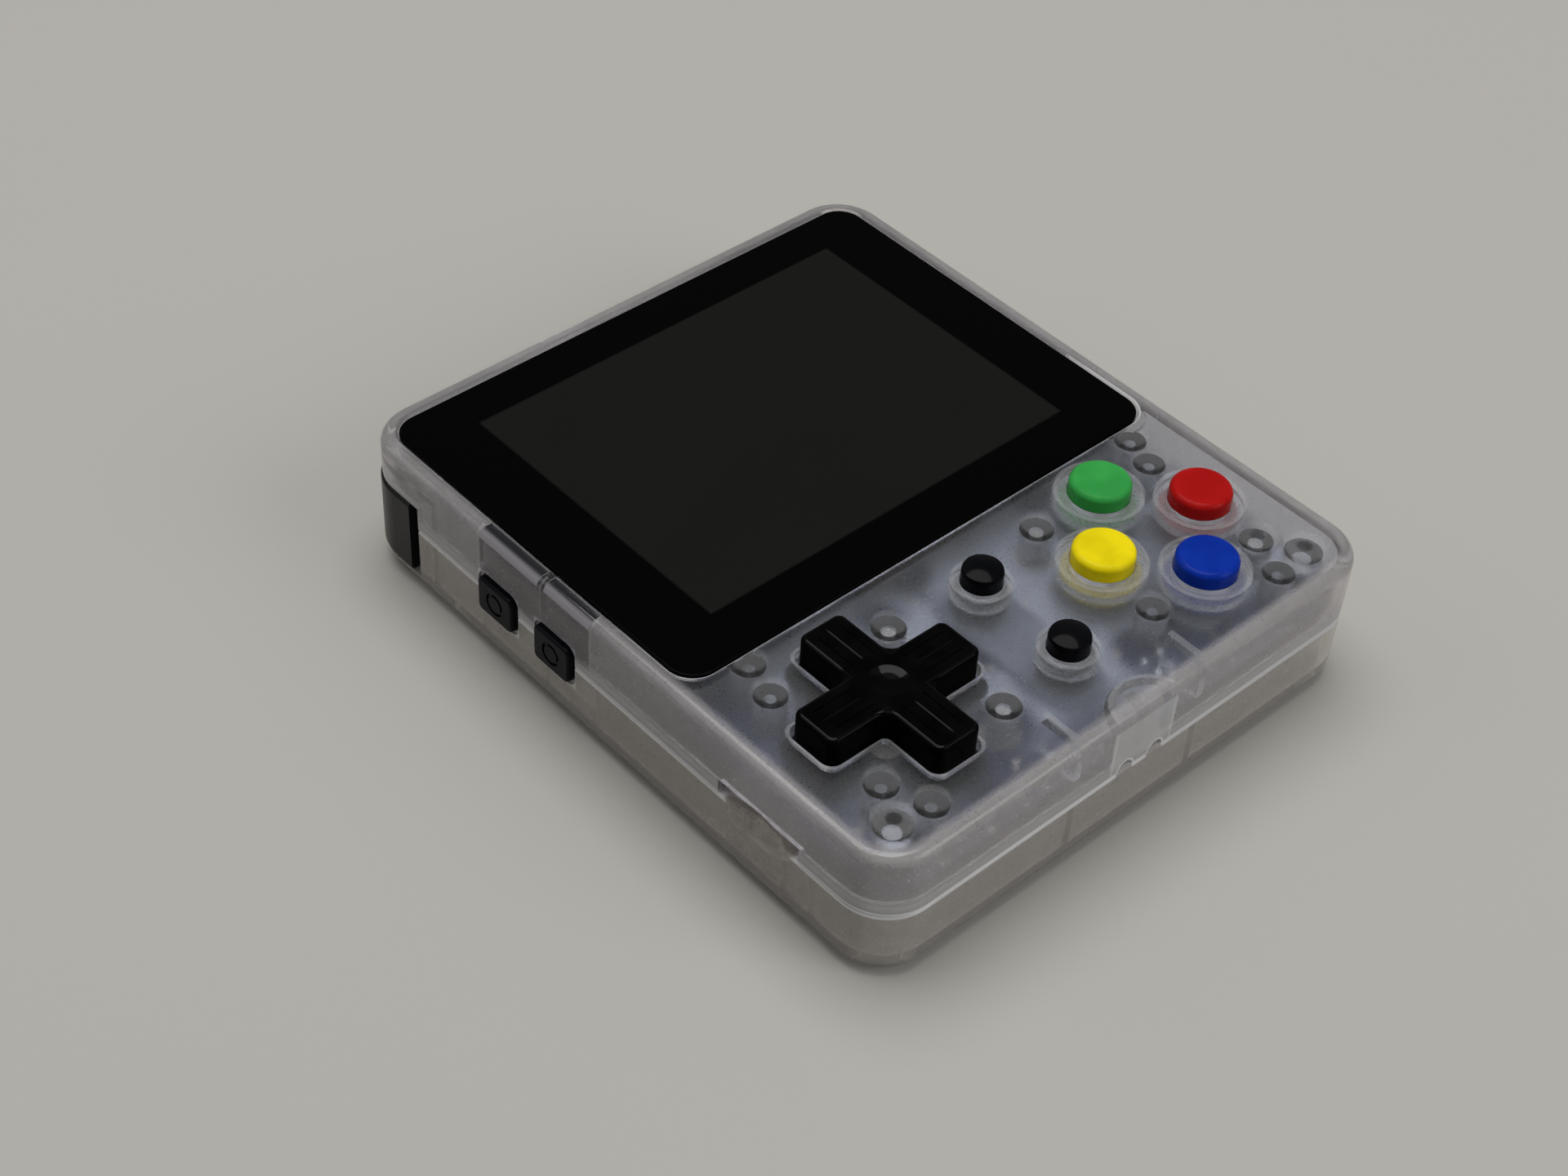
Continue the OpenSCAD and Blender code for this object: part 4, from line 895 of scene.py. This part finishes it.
def chamfered_block(w: float, l: float, h: float, edge: float) -> Patch:
    """Small block with its upper edges cut: rings (w, l) to z = h - edge, then less 2 edge at h.

    Args:
        w: width.
        l: length.
        h: height.
        edge: cut.

    Returns:
        A closed patch about the origin, foot at z = 0.
    """
    corner = np.array([[-1, -1], [1, -1], [1, 1], [-1, 1]]) / 2
    full, top = corner * [w, l], corner * [w - 2 * edge, l - 2 * edge]
    rings = [(full * 0, 0.0), (full, 0.0), (full, h - edge), (top, h), (top * 0, h)]
    points = np.array([np.column_stack([ring, np.full(4, z)]) for ring, z in rings])
    return grid_patch(points, loop=True)


def cross_outline(reach: float, arm: float, blur: int = 5, count: int = 240) -> np.ndarray:
    """Outline of a plus sign, smoothed.

    r(a) is the larger of both bars' min(half length / |cos a|, half width / |sin a|).

    Args:
        reach: half the span.
        arm: half the width of an arm.
        blur: samples averaged to each side, which rounds the corners.
        count: points.

    Returns:
        (count, 2) points.
    """
    a = np.linspace(0, 2 * np.pi, count, endpoint=False)
    c, s = np.abs(np.cos(a)) + 1e-9, np.abs(np.sin(a)) + 1e-9
    r = np.maximum(np.minimum(reach / c, arm / s), np.minimum(reach / s, arm / c))
    r = sum(np.roll(r, k) for k in range(-blur, blur + 1)) / (2 * blur + 1)
    return np.column_stack([r * np.cos(a), r * np.sin(a)])


def pill_outline(w: float, l: float, power: float = 6.0, count: int = 96) -> np.ndarray:
    """Superellipse: x = w/2 sgn(cos a)|cos a|^(2/p), y = l/2 sgn(sin a)|sin a|^(2/p).

    Args:
        w: width.
        l: length.
        power: p, squarer when it is larger.
        count: points.

    Returns:
        (count, 2) points.
    """
    a = np.linspace(0, 2 * np.pi, count, endpoint=False)
    unit = np.column_stack([np.cos(a), np.sin(a)])
    return np.array([w / 2, l / 2]) * np.sign(unit) * np.abs(unit) ** (2 / power)


# ---------------------------------------------------------------- sub-assemblies


@dataclass
class Dresser:
    """Gives each CAD node its finish and each new piece its material and body."""

    nodes: dict[str, bpy.types.Object]

    def node(self, finish: Finish, name: str, *nodes: str) -> None:
        """Puts a finish on whole CAD nodes.

        Args:
            finish: the look.
            name: its material's name.
            nodes: CAD nodes.
        """
        material = finish.material(name)
        for node in nodes:
            mesh = self.nodes[node].data
            mesh.materials.clear()
            mesh.materials.append(material)
            LOG.info("finish %s on node %s", name, node)

    def piece(
        self, made: bpy.types.Object, material: bpy.types.Material, slot: str, body: str = "console"
    ) -> bpy.types.Object:
        """Dresses a new piece and lets it ride on a body.

        Args:
            made: the piece.
            material: its finish.
            slot: not used.
            body: the CAD body that carries it.

        Returns:
            The piece.
        """
        made.data.materials.append(material)
        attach(made, body)
        LOG.info("piece %s on %s, %d faces", made.name, body, len(made.data.polygons))
        return made


@dataclass
class CaseShells:
    """The two halves of the see-through case.

    A rib is its middle's x and y, its width and its length, and the strap's guide is x, y and radius.
    """

    pegs: tuple[tuple[float, float], ...] = (
        (30.0, -12.8), (-27.5, -12.2), (28.7, -16.9), (-28.7, -16.9), (26.3, -38.0), (-26.3, -38.0),
        (-28.4, -33.0), (11.4, -33.1), (-25.0, -29.9), *BOARD_SCREWS[1:],
    )
    screws: tuple[tuple[float, float], ...] = (BOARD_SCREWS[0], (31.1, -37.5), (-31.1, -37.5))
    action_guide: float = 5.2
    menu_guide: float = 3.5
    strap_guide: tuple[float, float, float] = (0.0, -43.6, 4.8)
    ribs: tuple[tuple[float, float, float, float], ...] = (
        (-9.4, -39.2, 0.9, 4.2), (9.4, -39.2, 0.9, 4.2),
        (-36.6, 21.3, 1.4, 0.3), (-36.6, 10.4, 1.4, 0.3), (-36.6, 2.0, 1.4, 0.3),
    )
    key_half: tuple[float, float] = (3.0, 2.4)
    pad_hole: tuple[float, float] = (3.5, 11.0)

    def guides(self) -> list[tuple[float, float, float]]:
        """Places and radii of the rings round the buttons and at the strap."""
        sides = ((ACTION_X + i * ACTION_STEP, ACTION_Y + j * ACTION_STEP) for _, i, j in ACTION_SIDES)
        menu = ((MENU_X, MENU_Y + j * MENU_STEP, self.menu_guide) for _, j in MENU_SIDES)
        return [*((x, y, self.action_guide) for x, y in sides), *menu, self.strap_guide]

    def keys(self) -> list[tuple[Mould, tuple[float, ...]]]:
        """Milk-white rims of the two key openings, a painted highlight."""
        return [(Mould.KEY, (y, KEY_Z, *self.key_half)) for y in KEY_YS]

    def front(self) -> ClearShell:
        """Cool face and slightly rosy walls, with every moulded feature of the front half.

        Returns:
            The front half's resin.
        """
        moulds = [(Mould.PEG, at) for at in self.pegs] + [(Mould.SCREW, at) for at in self.screws]
        moulds += [(Mould.GUIDE, at) for at in self.guides()] + [(Mould.RIB, at) for at in self.ribs]
        moulds += [*self.keys(), (Mould.STRAP, (STRAP_X, STRAP_Z, STRAP_R))]
        moulds += [(Mould.PAD, (PAD_X, PAD_Y, *self.pad_hole))]
        moulds += [(Mould.SEAT, (0.0, WINDOW_Y, WINDOW_W / 2, WINDOW_L / 2))]
        # The third tone is the painted shade on the left wall's outer skin.
        return ClearShell((0.92, 0.94, 1.0), (0.93, 0.9, 0.92), (0.4, 0.38, 0.43), moulds=tuple(moulds))

    def rear(self) -> ClearShell:
        """Warmer resin, its outer skin below, and a nail notch browner in cloudy patches.

        Returns:
            The rear half's resin.
        """
        return ClearShell(
            face=(0.84, 0.82, 0.8),
            wall=(0.94, 0.89, 0.86),
            # Painted shade on the left wall's outer skin.
            painted_side_shade=(0.48, 0.45, 0.42),
            face_clear=0.9,
            wall_clear=0.74,
            skin_z=(1.6, 1.4),
            seam=(9.15, 0.3),
            nail=1.0,
            moulds=tuple(self.keys()),
        )

    def build(self, dress: Dresser) -> None:
        """Dresses both halves."""
        dress.node(self.front(), "clear_front", "front_shell")
        dress.node(self.rear(), "clear_rear", "rear_shell")


@dataclass
class Display:
    """Window, tape, panel, light and ribbon, and the foam beside them.

    A hollow is its length and its middle's y, and a strip is its width, height, x and z.
    """

    hollows: tuple[tuple[float, float], ...] = ((9.5, 15.85), (7.0, 6.2))
    top_strip: tuple[float, float, float, float] = (3.8, 0.5, -33.15, 15.6)
    side_strip: tuple[float, float, float, float] = (0.4, 1.7, -34.9, 14.4)

    def cushions(self) -> Patch:
        """Black foam strips that close the two hollows of the rim beside the window.

        Returns:
            A top and a side strip for each hollow.
        """
        strips = [
            chamfered_block(width, length, height, 0.12).copies(np.array([[x, y, z]]))
            for length, y in self.hollows
            for width, height, x, z in (self.top_strip, self.side_strip)
        ]
        return sum(strips[1:], strips[0])

    def build(self, dress: Dresser) -> None:
        """Dresses the stack from the top down and adds the foam.

        Args:
            dress: gives the finishes and bodies.
        """
        dress.node(BlackWindow(), "black_window", "display_lens")
        dress.node(Film.TAPE, "window_tape", "lens_tape")
        dress.node(Film.PANEL, "panel_glass", "lcd_panel")
        dress.node(Film.LIGHT, "light_guide", "lcd_backlight")
        dress.node(Film.RIBBON, "ribbon_film", "lcd_flex")
        foam = SatinPlastic((0.006, 0.006, 0.008), 0.7, 0.5, 0.04).material("black_foam")
        dress.piece(self.cushions().piece("rim_cushions", False), foam, "adhesive")


@dataclass
class Controls:
    """Direction pad, coloured and menu buttons, and the rubber mats with a dome under each."""

    foot: float = 11.85
    sheet_top: float = 12.65
    button_under: float = 13.9
    pad_under: float = 13.6
    action_mat: tuple[float, float] = (11.9, 4.5)
    menu_mat: tuple[float, float] = (8.0, 20.8)
    pad_mat: tuple[float, float] = (9.6, 4.4)
    pad_step: float = 7.2
    action_crown: float = 2.3
    small_crown: float = 1.8
    shoulder: float = 0.22
    skirt: float = 0.9
    bead: float = 0.08
    travel: float = 0.8

    def dome(self, name: str, x: float, y: float, top: float, r: float) -> bpy.types.Object:
        """Switch dome: foot ring, sloped skirt and a flat crown with rounded shoulders.

        The skirt's radius falls as (1 - t)^1.6 while its height rises as t^0.8.

        Args:
            name: the piece's name.
            x: centre across.
            y: centre along.
            top: crown height.
            r: crown radius.

        Returns:
            The piece.
        """
        t = np.linspace(0, 1, 13)
        base, turn, wide = self.sheet_top - 0.35, self.shoulder, r + self.skirt
        foot = [[0, self.foot + 0.05], [wide, self.foot + 0.05]]
        skirt = np.column_stack([r + self.skirt * (1 - t) ** 1.6, base + (top - turn - base) * t**0.8])
        a = np.linspace(0, np.pi / 2, 7)[1:]
        crown = np.column_stack([r - turn + turn * np.cos(a), top - turn + turn * np.sin(a)])
        dimple = [[r * 0.55, top], [r * 0.5, top - 0.06], [0, top - 0.06]]
        return turned(np.vstack([foot, skirt, crown, dimple]), x, y, 40).piece(name)

    def mat(
        self, name: str, outline: np.ndarray, x: float, y: float, low: float, high: float
    ) -> bpy.types.Object:
        """Rubber sheet: an outline with a rounded rim and a raised bead just inside it.

        Args:
            name: the piece's name.
            outline: its outline about the middle.
            x: middle across.
            y: middle along.
            low: underside.
            high: top side.

        Returns:
            The piece.
        """
        rim, flat = (high - low) * 0.3, high - self.bead
        rings = [(0, low), (0.97, low), (1.0, low + rim), (1.0, high - rim), (0.985, high - rim * 0.3)]
        rings += [(0.965, high), (0.93, high), (0.915, flat), (0.6, flat), (0.3, flat), (0, flat)]
        made = stacked(outline, rings)
        made.points += [x, y, 0]
        return made.piece(name)

    def caps(self, dress: Dresser) -> None:
        """Dresses the coloured and black caps and the pad.

        Args:
            dress: gives the finishes and bodies.
        """
        caps = {
            "button_top": ("green_cap", (0.038, 0.35, 0.07)),
            "button_right": ("red_cap", (0.42, 0.006, 0.006)),
            "button_left": ("yellow_cap", (0.86, 0.7, 0.004)),
            "button_bottom": ("blue_cap", (0.002, 0.028, 0.34)),
        }
        for node, (name, tone) in caps.items():
            dress.node(SatinPlastic(tone, 0.3, depth=0.003, level=0.05, gloss=0.05), name, node)
        pad = PadPlastic((0.0006, 0.0007, 0.001), 0.3, depth=0.003, level=0.01, gloss=0.02)
        dress.node(pad, "black_pad", "dpad")
        small = SatinPlastic((0.0015, 0.0018, 0.003), 0.24, depth=0.003, level=0.03, gloss=0.08)
        dress.node(small, "black_cap", "select_button", "start_button")

    def press(self, made: bpy.types.Object) -> None:
        """Gives a dome its own copy of its mesh."""
        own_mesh(made)

    def lay_action(self, dress: Dresser, rubber: bpy.types.Material) -> None:
        """Lays the coloured buttons' mat and domes.

        Args:
            dress: gives the finishes and bodies.
            rubber: the material.
        """
        outline = cross_outline(*self.action_mat)
        sheet = self.mat("action_mat", outline, ACTION_X, ACTION_Y, self.foot, self.sheet_top)
        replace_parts(dress.piece(sheet, rubber, "silicone"), "action_membrane")
        for side, i, j in ACTION_SIDES:
            at = ACTION_X + i * ACTION_STEP, ACTION_Y + j * ACTION_STEP
            made = self.dome(f"action_dome_{side}", *at, self.button_under, self.action_crown)
            dress.piece(made, rubber, "silicone")
            self.press(made)

    def lay_menu(self, dress: Dresser, rubber: bpy.types.Material) -> None:
        """Lays the menu buttons' mat and domes.

        Args:
            dress: gives the finishes and bodies.
            rubber: the material.
        """
        outline = pill_outline(*self.menu_mat)
        sheet = self.mat("menu_mat", outline, MENU_X, MENU_Y, self.foot, self.sheet_top)
        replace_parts(dress.piece(sheet, rubber, "silicone"), "menu_membrane")
        for side, j in MENU_SIDES:
            at = MENU_X, MENU_Y + j * MENU_STEP
            made = self.dome(f"menu_dome_{side}", *at, self.button_under, self.small_crown)
            dress.piece(made, rubber, "silicone")
            self.press(made)

    def lay_pad(self, dress: Dresser, rubber: bpy.types.Material) -> None:
        """Lays the pad's mat, which tilts with it, and the domes under its arms.

        Args:
            dress: gives the finishes and bodies.
            rubber: the material.
        """
        x, y, z = PAD_X, PAD_Y, self.sheet_top
        sheet = self.mat("pad_mat", cross_outline(*self.pad_mat), x, y, z - 0.1, z + 0.1)
        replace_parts(dress.piece(sheet, rubber, "silicone", "dpad_rocker"), "dpad_membrane")
        for side, i, j in (("up", 0, 1), ("down", 0, -1), ("left", -1, 0), ("right", 1, 0)):
            at = x + i * self.pad_step, y + j * self.pad_step
            made = self.dome(f"pad_dome_{side}", *at, self.pad_under, self.small_crown)
            dress.piece(made, rubber, "silicone")
            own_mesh(made)

    def build(self, dress: Dresser) -> None:
        """Dresses the caps and lays the mats and domes under them.

        Args:
            dress: gives the finishes and bodies.
        """
        self.caps(dress)
        rubber = Rubber().material("clear_rubber")
        self.lay_action(dress, rubber)
        self.lay_menu(dress, rubber)
        self.lay_pad(dress, rubber)


@dataclass
class SideControls:
    """Volume keys, shoulder triggers, power slider and their switches."""

    def build(self, dress: Dresser) -> None:
        """Dresses the keys and switches.

        Args:
            dress: gives the finishes and bodies.
        """
        key = SatinPlastic((0.0022, 0.0022, 0.0045), 0.3, depth=0.005, level=0.05, gloss=0.04)
        dress.node(key, "black_key", "volume_up_button", "volume_down_button")
        trigger = SatinPlastic((0.005, 0.005, 0.0055), 0.32, depth=0.006, level=0.12, gloss=0.1)
        dress.node(trigger, "black_trigger", "left_shoulder_button", "right_shoulder_button", "power_knob")
        can = Metal((0.6, 0.6, 0.62), 0.3)
        dress.node(can, "switch_can", "volume_switches", "shoulder_switches", "power_switch")


@dataclass
class Board:
    """Circuit board with its chips, sockets, small parts, legs and solder.

    A small part is width, length, height. Taken places are x0, y0, x1, y1, to which a legged chip adds
    the pitch of its legs and how far they drop. Each group of solder joints is its xs and its ys: the
    battery's plug, the speaker's plug, the power switch and the headphone socket.
    """

    seed: int = 7
    filled: float = 0.55
    part: tuple[float, float, float] = (1.0, 0.8, 0.5)
    part_end: tuple[float, float, float] = (0.34, 0.84, 0.52)
    part_reach: float = 0.62
    part_room: float = 1.1
    screw_room: float = 2.2
    solder_r: float = 0.55
    solder_h: float = 0.32
    leg_t: float = 0.12
    port: tuple[float, float, float] = (-6.0, 37.4, 8.9)
    contact: tuple[float, float] = (0.34, 0.06)
    contact_l: float = 3.9
    contact_pitch: float = 0.65
    grid_x: tuple[float, float, float] = (-30, 31, 2.6)
    grid_y: tuple[float, float, float] = (-38, -8, 2.1)
    taken: tuple[tuple[float, float, float, float], ...] = (
        (10, -8, 20, 3), (-27.5, -9.5, -22.5, -5.5), (7, -38.6, 12, -34.6), (8, -35, 30, -13),
        (-37, -31.5, -20, -18), (-3, -41, 3, -34), (27, -41, 35, -33), (-35, -41, -27, -33),
    )
    legged: tuple[tuple[float, float, float, float, float, float], ...] = (
        (-8, -34, -1, -29, 1.27, 0.8), (-20.6, -8, -12.6, -3, 1.0, 0.55), (-7, -10, 7, 4, 0.8, 0.7),
    )
    joints: tuple[tuple[tuple[float, ...], tuple[float, ...]], ...] = (
        ((-26.3, -23.7), (-8.7, -6.3)), ((8.3, 10.7), (-37.6, -35.6)),
        ((31.4,), (-11.0, -8.6, -6.2, -3.8)), ((3.4, 10.6), (30.5, 33.0)),
    )

    def free(self, points: np.ndarray, room: float) -> np.ndarray:
        """Points whose square of that room meets no taken rectangle and no screw.

        Args:
            points: (n, 2) candidates.
            room: half the side kept free.

        Returns:
            The points left.
        """
        keep = np.ones(len(points), bool)
        for x0, y0, x1, y1 in self.taken + tuple(chip[:4] for chip in self.legged):
            inside = (points > [x0 - room, y0 - room]) & (points < [x1 + room, y1 + room])
            keep &= ~inside.all(1)
        for screw in BOARD_SCREWS:
            keep &= np.hypot(*(points - screw).T) > self.screw_room + room
        return points[keep]

    def small_parts(self) -> tuple[Patch, Patch]:
        """Chips of 1.6 x 0.8 mm in rows under the board, and their plated ends.

        Returns:
            Bodies and ends.
        """
        rng = np.random.default_rng(self.seed)
        gx, gy = np.meshgrid(np.arange(*self.grid_x), np.arange(*self.grid_y))
        points = np.column_stack([gx.ravel(), gy.ravel()])
        points = self.free(points[rng.random(len(points)) < self.filled], self.part_room)
        places = np.column_stack([points, np.full(len(points), BOARD_UNDER)])
        body, end = chamfered_block(*self.part, 0.05), chamfered_block(*self.part_end, 0.06)
        for patch in (body, end):
            patch.points = patch.points * [1, 1, -1]
        reach = self.part_reach * RIGHT
        return body.copies(places), end.copies(places + reach) + end.copies(places - reach)

    def legs(self) -> Patch:
        """Gull-wing legs: y runs out from the body while z rises to the board on a smooth step.

        Returns:
            Legs of the chips that show.
        """
        t = np.linspace(0, 1, 9)
        step = t * t * (3 - 2 * t)
        rows = []
        for x0, y0, x1, y1, pitch, drop in self.legged:
            count = int((x1 - x0 - 1) / pitch)
            xs = (x0 + x1) / 2 + pitch * (np.arange(count) - (count - 1) / 2)
            z = BOARD_UNDER - drop + (drop - 0.06) * step
            for side, edge in ((-1, y0), (1, y1)):
                path = np.column_stack([0 * t, edge + side * (-0.1 + 1.1 * t), z])
                leg = swept(path, pitch * 0.42, self.leg_t)
                rows.append(leg.copies(np.column_stack([xs, 0 * xs, 0 * xs])))
        return sum(rows[1:], rows[0])

    def solder(self) -> Patch:
        """Solder domes where wires and sockets pass the board: a quarter ellipse, turned.

        Returns:
            The domes on the board's upper side.
        """
        t = np.linspace(0, 1, 6) * np.pi / 2
        profile = np.column_stack([self.solder_r * np.sin(t), self.solder_h * np.cos(t)])
        dome = turned(np.vstack([profile, [[0, 0]]]), 0, 0, 14)
        places = [(x, y, BOARD_TOP) for xs, ys in self.joints for x in xs for y in ys]
        return dome.copies(np.array(places))

    def contacts(self) -> Patch:
        """Five gold strips in the charging socket, bowed up by a sine.

        Returns:
            The strips.
        """
        t = np.linspace(0, 1, 7)
        x, y, z = self.port
        path = np.column_stack([0 * t, y + self.contact_l * t, z + 0.02 * np.sin(np.pi * t)])
        places = np.array([(x + self.contact_pitch * k, 0.0, 0.0) for k in range(-2, 3)])
        return swept(path, *self.contact).copies(places)

    def build(self, dress: Dresser) -> None:
        """Dresses the board and adds its small parts.

        Args:
            dress: gives the finishes and bodies.
        """
        bare = SolderMask.bare + tuple((*at, 1.3) for at in CaseShells.pegs)
        dress.node(SolderMask(bare=bare), "navy_mask", "main_board")
        resin = SatinPlastic((0.014, 0.014, 0.015), 0.5, 0.18, 0.012)
        dress.node(resin, "chip_resin", "board_chips")
        dress.node(Metal((0.62, 0.62, 0.64), 0.26, (1, 6, 1)), "socket_steel", "usb_port", "card_socket")
        dress.node(SatinPlastic((0.01, 0.01, 0.01), 0.4), "jack_resin", "headphone_jack")
        dress.node(SatinPlastic((0.013, 0.013, 0.014), 0.45), "card_resin", "memory_card")
        dress.node(Metal((0.5, 0.5, 0.52), 0.32), "screw_steel", "case_screws")
        dress.node(Metal((0.7, 0.68, 0.64), 0.25), "screw_nickel", "board_screws")
        tin = Metal((0.75, 0.75, 0.76), 0.22).material("tin_plate")
        gold = Metal((0.85, 0.6, 0.25), 0.22).material("gold_plate")
        bodies, ends = self.small_parts()
        dress.piece(bodies.piece("small_parts", False), resin.material("part_body"), "chips")
        dress.piece(ends.piece("small_part_ends", False), tin, "switch_can")
        dress.piece(self.legs().piece("chip_legs", False), tin, "switch_can")
        dress.piece(self.solder().piece("solder_joints"), tin, "switch_can")
        dress.piece(self.contacts().piece("charging_contacts", False), gold, "socket_steel")


@dataclass
class PowerAndSound:
    """Battery with its tape, speaker with its cone, and their leads."""

    speaker: tuple[float, float] = (19.0, -24.0)
    floor: float = 1.8
    cap_r: float = 2.6
    rim_r: float = 8.7
    tape_top: float = 7.26
    tape_end: float = -6.28
    tape_w: float = 44.0

    def cone(self) -> bpy.types.Object:
        """Cone that faces the rear: dome cap, straight cone and half-round surround, closed behind.

        The cap is r = R sin a and z = h (1 - cos a), and the surround is half a turn of an ellipse.

        Returns:
            The piece.
        """
        a = np.linspace(0, np.pi / 2, 8)
        cap = np.column_stack([self.cap_r * np.sin(a), 0.35 + 0.45 * (1 - np.cos(a))])
        t = np.linspace(0, 1, 6)[1:]
        slope = np.column_stack([self.cap_r + 3.6 * t, 0.8 - 0.35 * t])
        b = np.linspace(0, np.pi, 10)[1:]
        roll = np.column_stack([7.4 - 1.2 * np.cos(b), 0.45 - 0.3 * np.sin(b)])
        back = [[self.rim_r, 0.45], [self.rim_r, 0.98], [0, 0.98]]
        profile = np.vstack([cap, slope, roll, back])
        profile[:, 1] += self.floor
        return turned(profile, *self.speaker, 72).piece("speaker_cone")

    def tape(self) -> bpy.types.Object:
        """Insulating tape folded over the battery's strap end: along its top, round an arc and down.

        Returns:
            The piece.
        """
        bend = np.linspace(0, np.pi / 2, 6)
        top, end, turn = self.tape_top, self.tape_end, 0.5
        arc = np.column_stack([0 * bend, end + turn - turn * np.sin(bend), top - turn + turn * np.cos(bend)])
        path = np.vstack([[[0, end + 6, top], [0, end + 3, top]], arc, [[0, end, 4.5], [0, end, 2.2]]])
        return swept(path, self.tape_w, 0.06).piece("battery_tape")

    def build(self, dress: Dresser) -> None:
        """Dresses the battery, speaker and leads.

        Args:
            dress: gives the finishes and bodies.
        """
        dress.node(FoilWrap((0.66, 0.68, 0.72), 0.38, 0.25), "battery_wrap", "battery")
        dress.node(SatinPlastic((0.35, 0.012, 0.01), 0.4), "lead_jacket", "battery_lead")
        dress.node(SatinPlastic((0.02, 0.02, 0.022), 0.45), "speaker_resin", "speaker")
        dress.node(SatinPlastic((0.3, 0.02, 0.02), 0.4), "speaker_jacket", "speaker_lead")
        paper = SatinPlastic((0.016, 0.016, 0.016), 0.6, 0.4, 0.02).material("cone_paper")
        dress.piece(self.cone(), paper, "speaker_black")
        amber = FoilWrap((0.5, 0.3, 0.03), 0.25, 0.0, 0.02).material("amber_tape")
        dress.piece(self.tape(), amber, "battery_wrap")


@dataclass
class Studio:
    """Camera, plain pale floor and soft overhead light.

    The axes are the camera's own, as columns, with its place in metres last. A soft box is its place,
    its diameter in metres and its watts.
    """

    lens: float = 61.0
    sensor: float = 36.0
    axes: tuple[tuple[float, ...], ...] = (
        (0.74216, 0.43421, -0.51055, -0.16104),
        (-0.66846, 0.53480, -0.51687, -0.15179),
        (0.04861, 0.72488, 0.68715, 0.21056),
        (0, 0, 0, 1),
    )
    floor_reach: float = 8000.0
    floor_z: float = -0.15
    floor_tone: Colour = (0.49, 0.48, 0.455)
    air_tone: Colour = (0.215, 0.213, 0.205)
    lamp_tone: Colour = (1.0, 0.99, 0.97)
    boxes: tuple[tuple[Colour, float, float], ...] = (
        ((0.05, 0.2, 1.1), 1.0, 8.0), ((-0.75, 0.65, 0.75), 0.8, 1.0), ((0.4, -0.95, 0.7), 0.8, 3.5),
    )

    def camera(self) -> None:
        """Places the camera by its own axes and position."""
        data = bpy.data.cameras.new("camera")
        data.sensor_width, data.sensor_fit, data.lens = self.sensor, "HORIZONTAL", self.lens
        data.clip_start, data.clip_end = 0.01, 50.0
        made = bpy.data.objects.new("camera", data)
        made.matrix_world = Matrix(self.axes)
        bpy.context.scene.collection.objects.link(made)
        bpy.context.scene.camera = made

    def floor(self) -> None:
        """Wide flat grid just under the part, pale from above and see-through from below."""
        span = np.linspace(-self.floor_reach, self.floor_reach, 9)
        gx, gy = np.meshgrid(span, span)
        made = grid_patch(np.stack([gx, gy, gx * 0 + self.floor_z], -1)).piece("floor", closed=False)
        sheet = Sheet("pale_floor")
        cloud = sheet.noise(60.0, 3.0) * 0.7 + sheet.noise(1.2, 3.0) * 0.3
        dark, light = (scaled(self.floor_tone, by) for by in (0.985, 1.015))
        bare = sheet.plastic(sheet.tones(cloud, dark, light), 0.9, Specular_IOR_Level=0.1)
        behind = sheet.take("ShaderNodeNewGeometry", output="Backfacing")
        through = sheet.take("ShaderNodeBsdfTransparent")
        made.data.materials.append(sheet.close(sheet.blend(behind, bare, through)))

    def light(self) -> None:
        """Round soft boxes turned to the part, and an even surround."""
        for place, size, watts in self.boxes:
            data = bpy.data.lights.new("soft_box", "AREA")
            data.shape, data.size, data.energy = "DISK", size, watts
            data.color = self.lamp_tone
            made = bpy.data.objects.new("soft_box", data)
            turn = Vector(place).to_track_quat("Z", "Y").to_matrix().to_4x4()
            made.matrix_world = Matrix.Translation(place) @ turn
            bpy.context.scene.collection.objects.link(made)
        world = bpy.data.worlds.new("surround")
        world.use_nodes = True
        back = world.node_tree.nodes["Background"]
        back.inputs["Color"].default_value = (*self.air_tone, 1.0)
        back.inputs["Strength"].default_value = 1.0
        bpy.context.scene.world = world

    def build(self) -> None:
        """Sets up the studio."""
        self.camera()
        self.floor()
        self.light()
        bpy.context.scene.view_settings.view_transform = "Standard"


def main() -> None:
    """Builds the studio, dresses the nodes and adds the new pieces."""
    logging.basicConfig(level=logging.INFO, format="%(name)s: %(message)s")
    Studio().build()
    dress = Dresser(frame["nodes"])
    for part in (CaseShells(), Display(), Controls(), SideControls(), Board(), PowerAndSound()):
        part.build(dress)
        LOG.info("built %s", type(part).__name__)


if __name__ == "__main__":
    main()
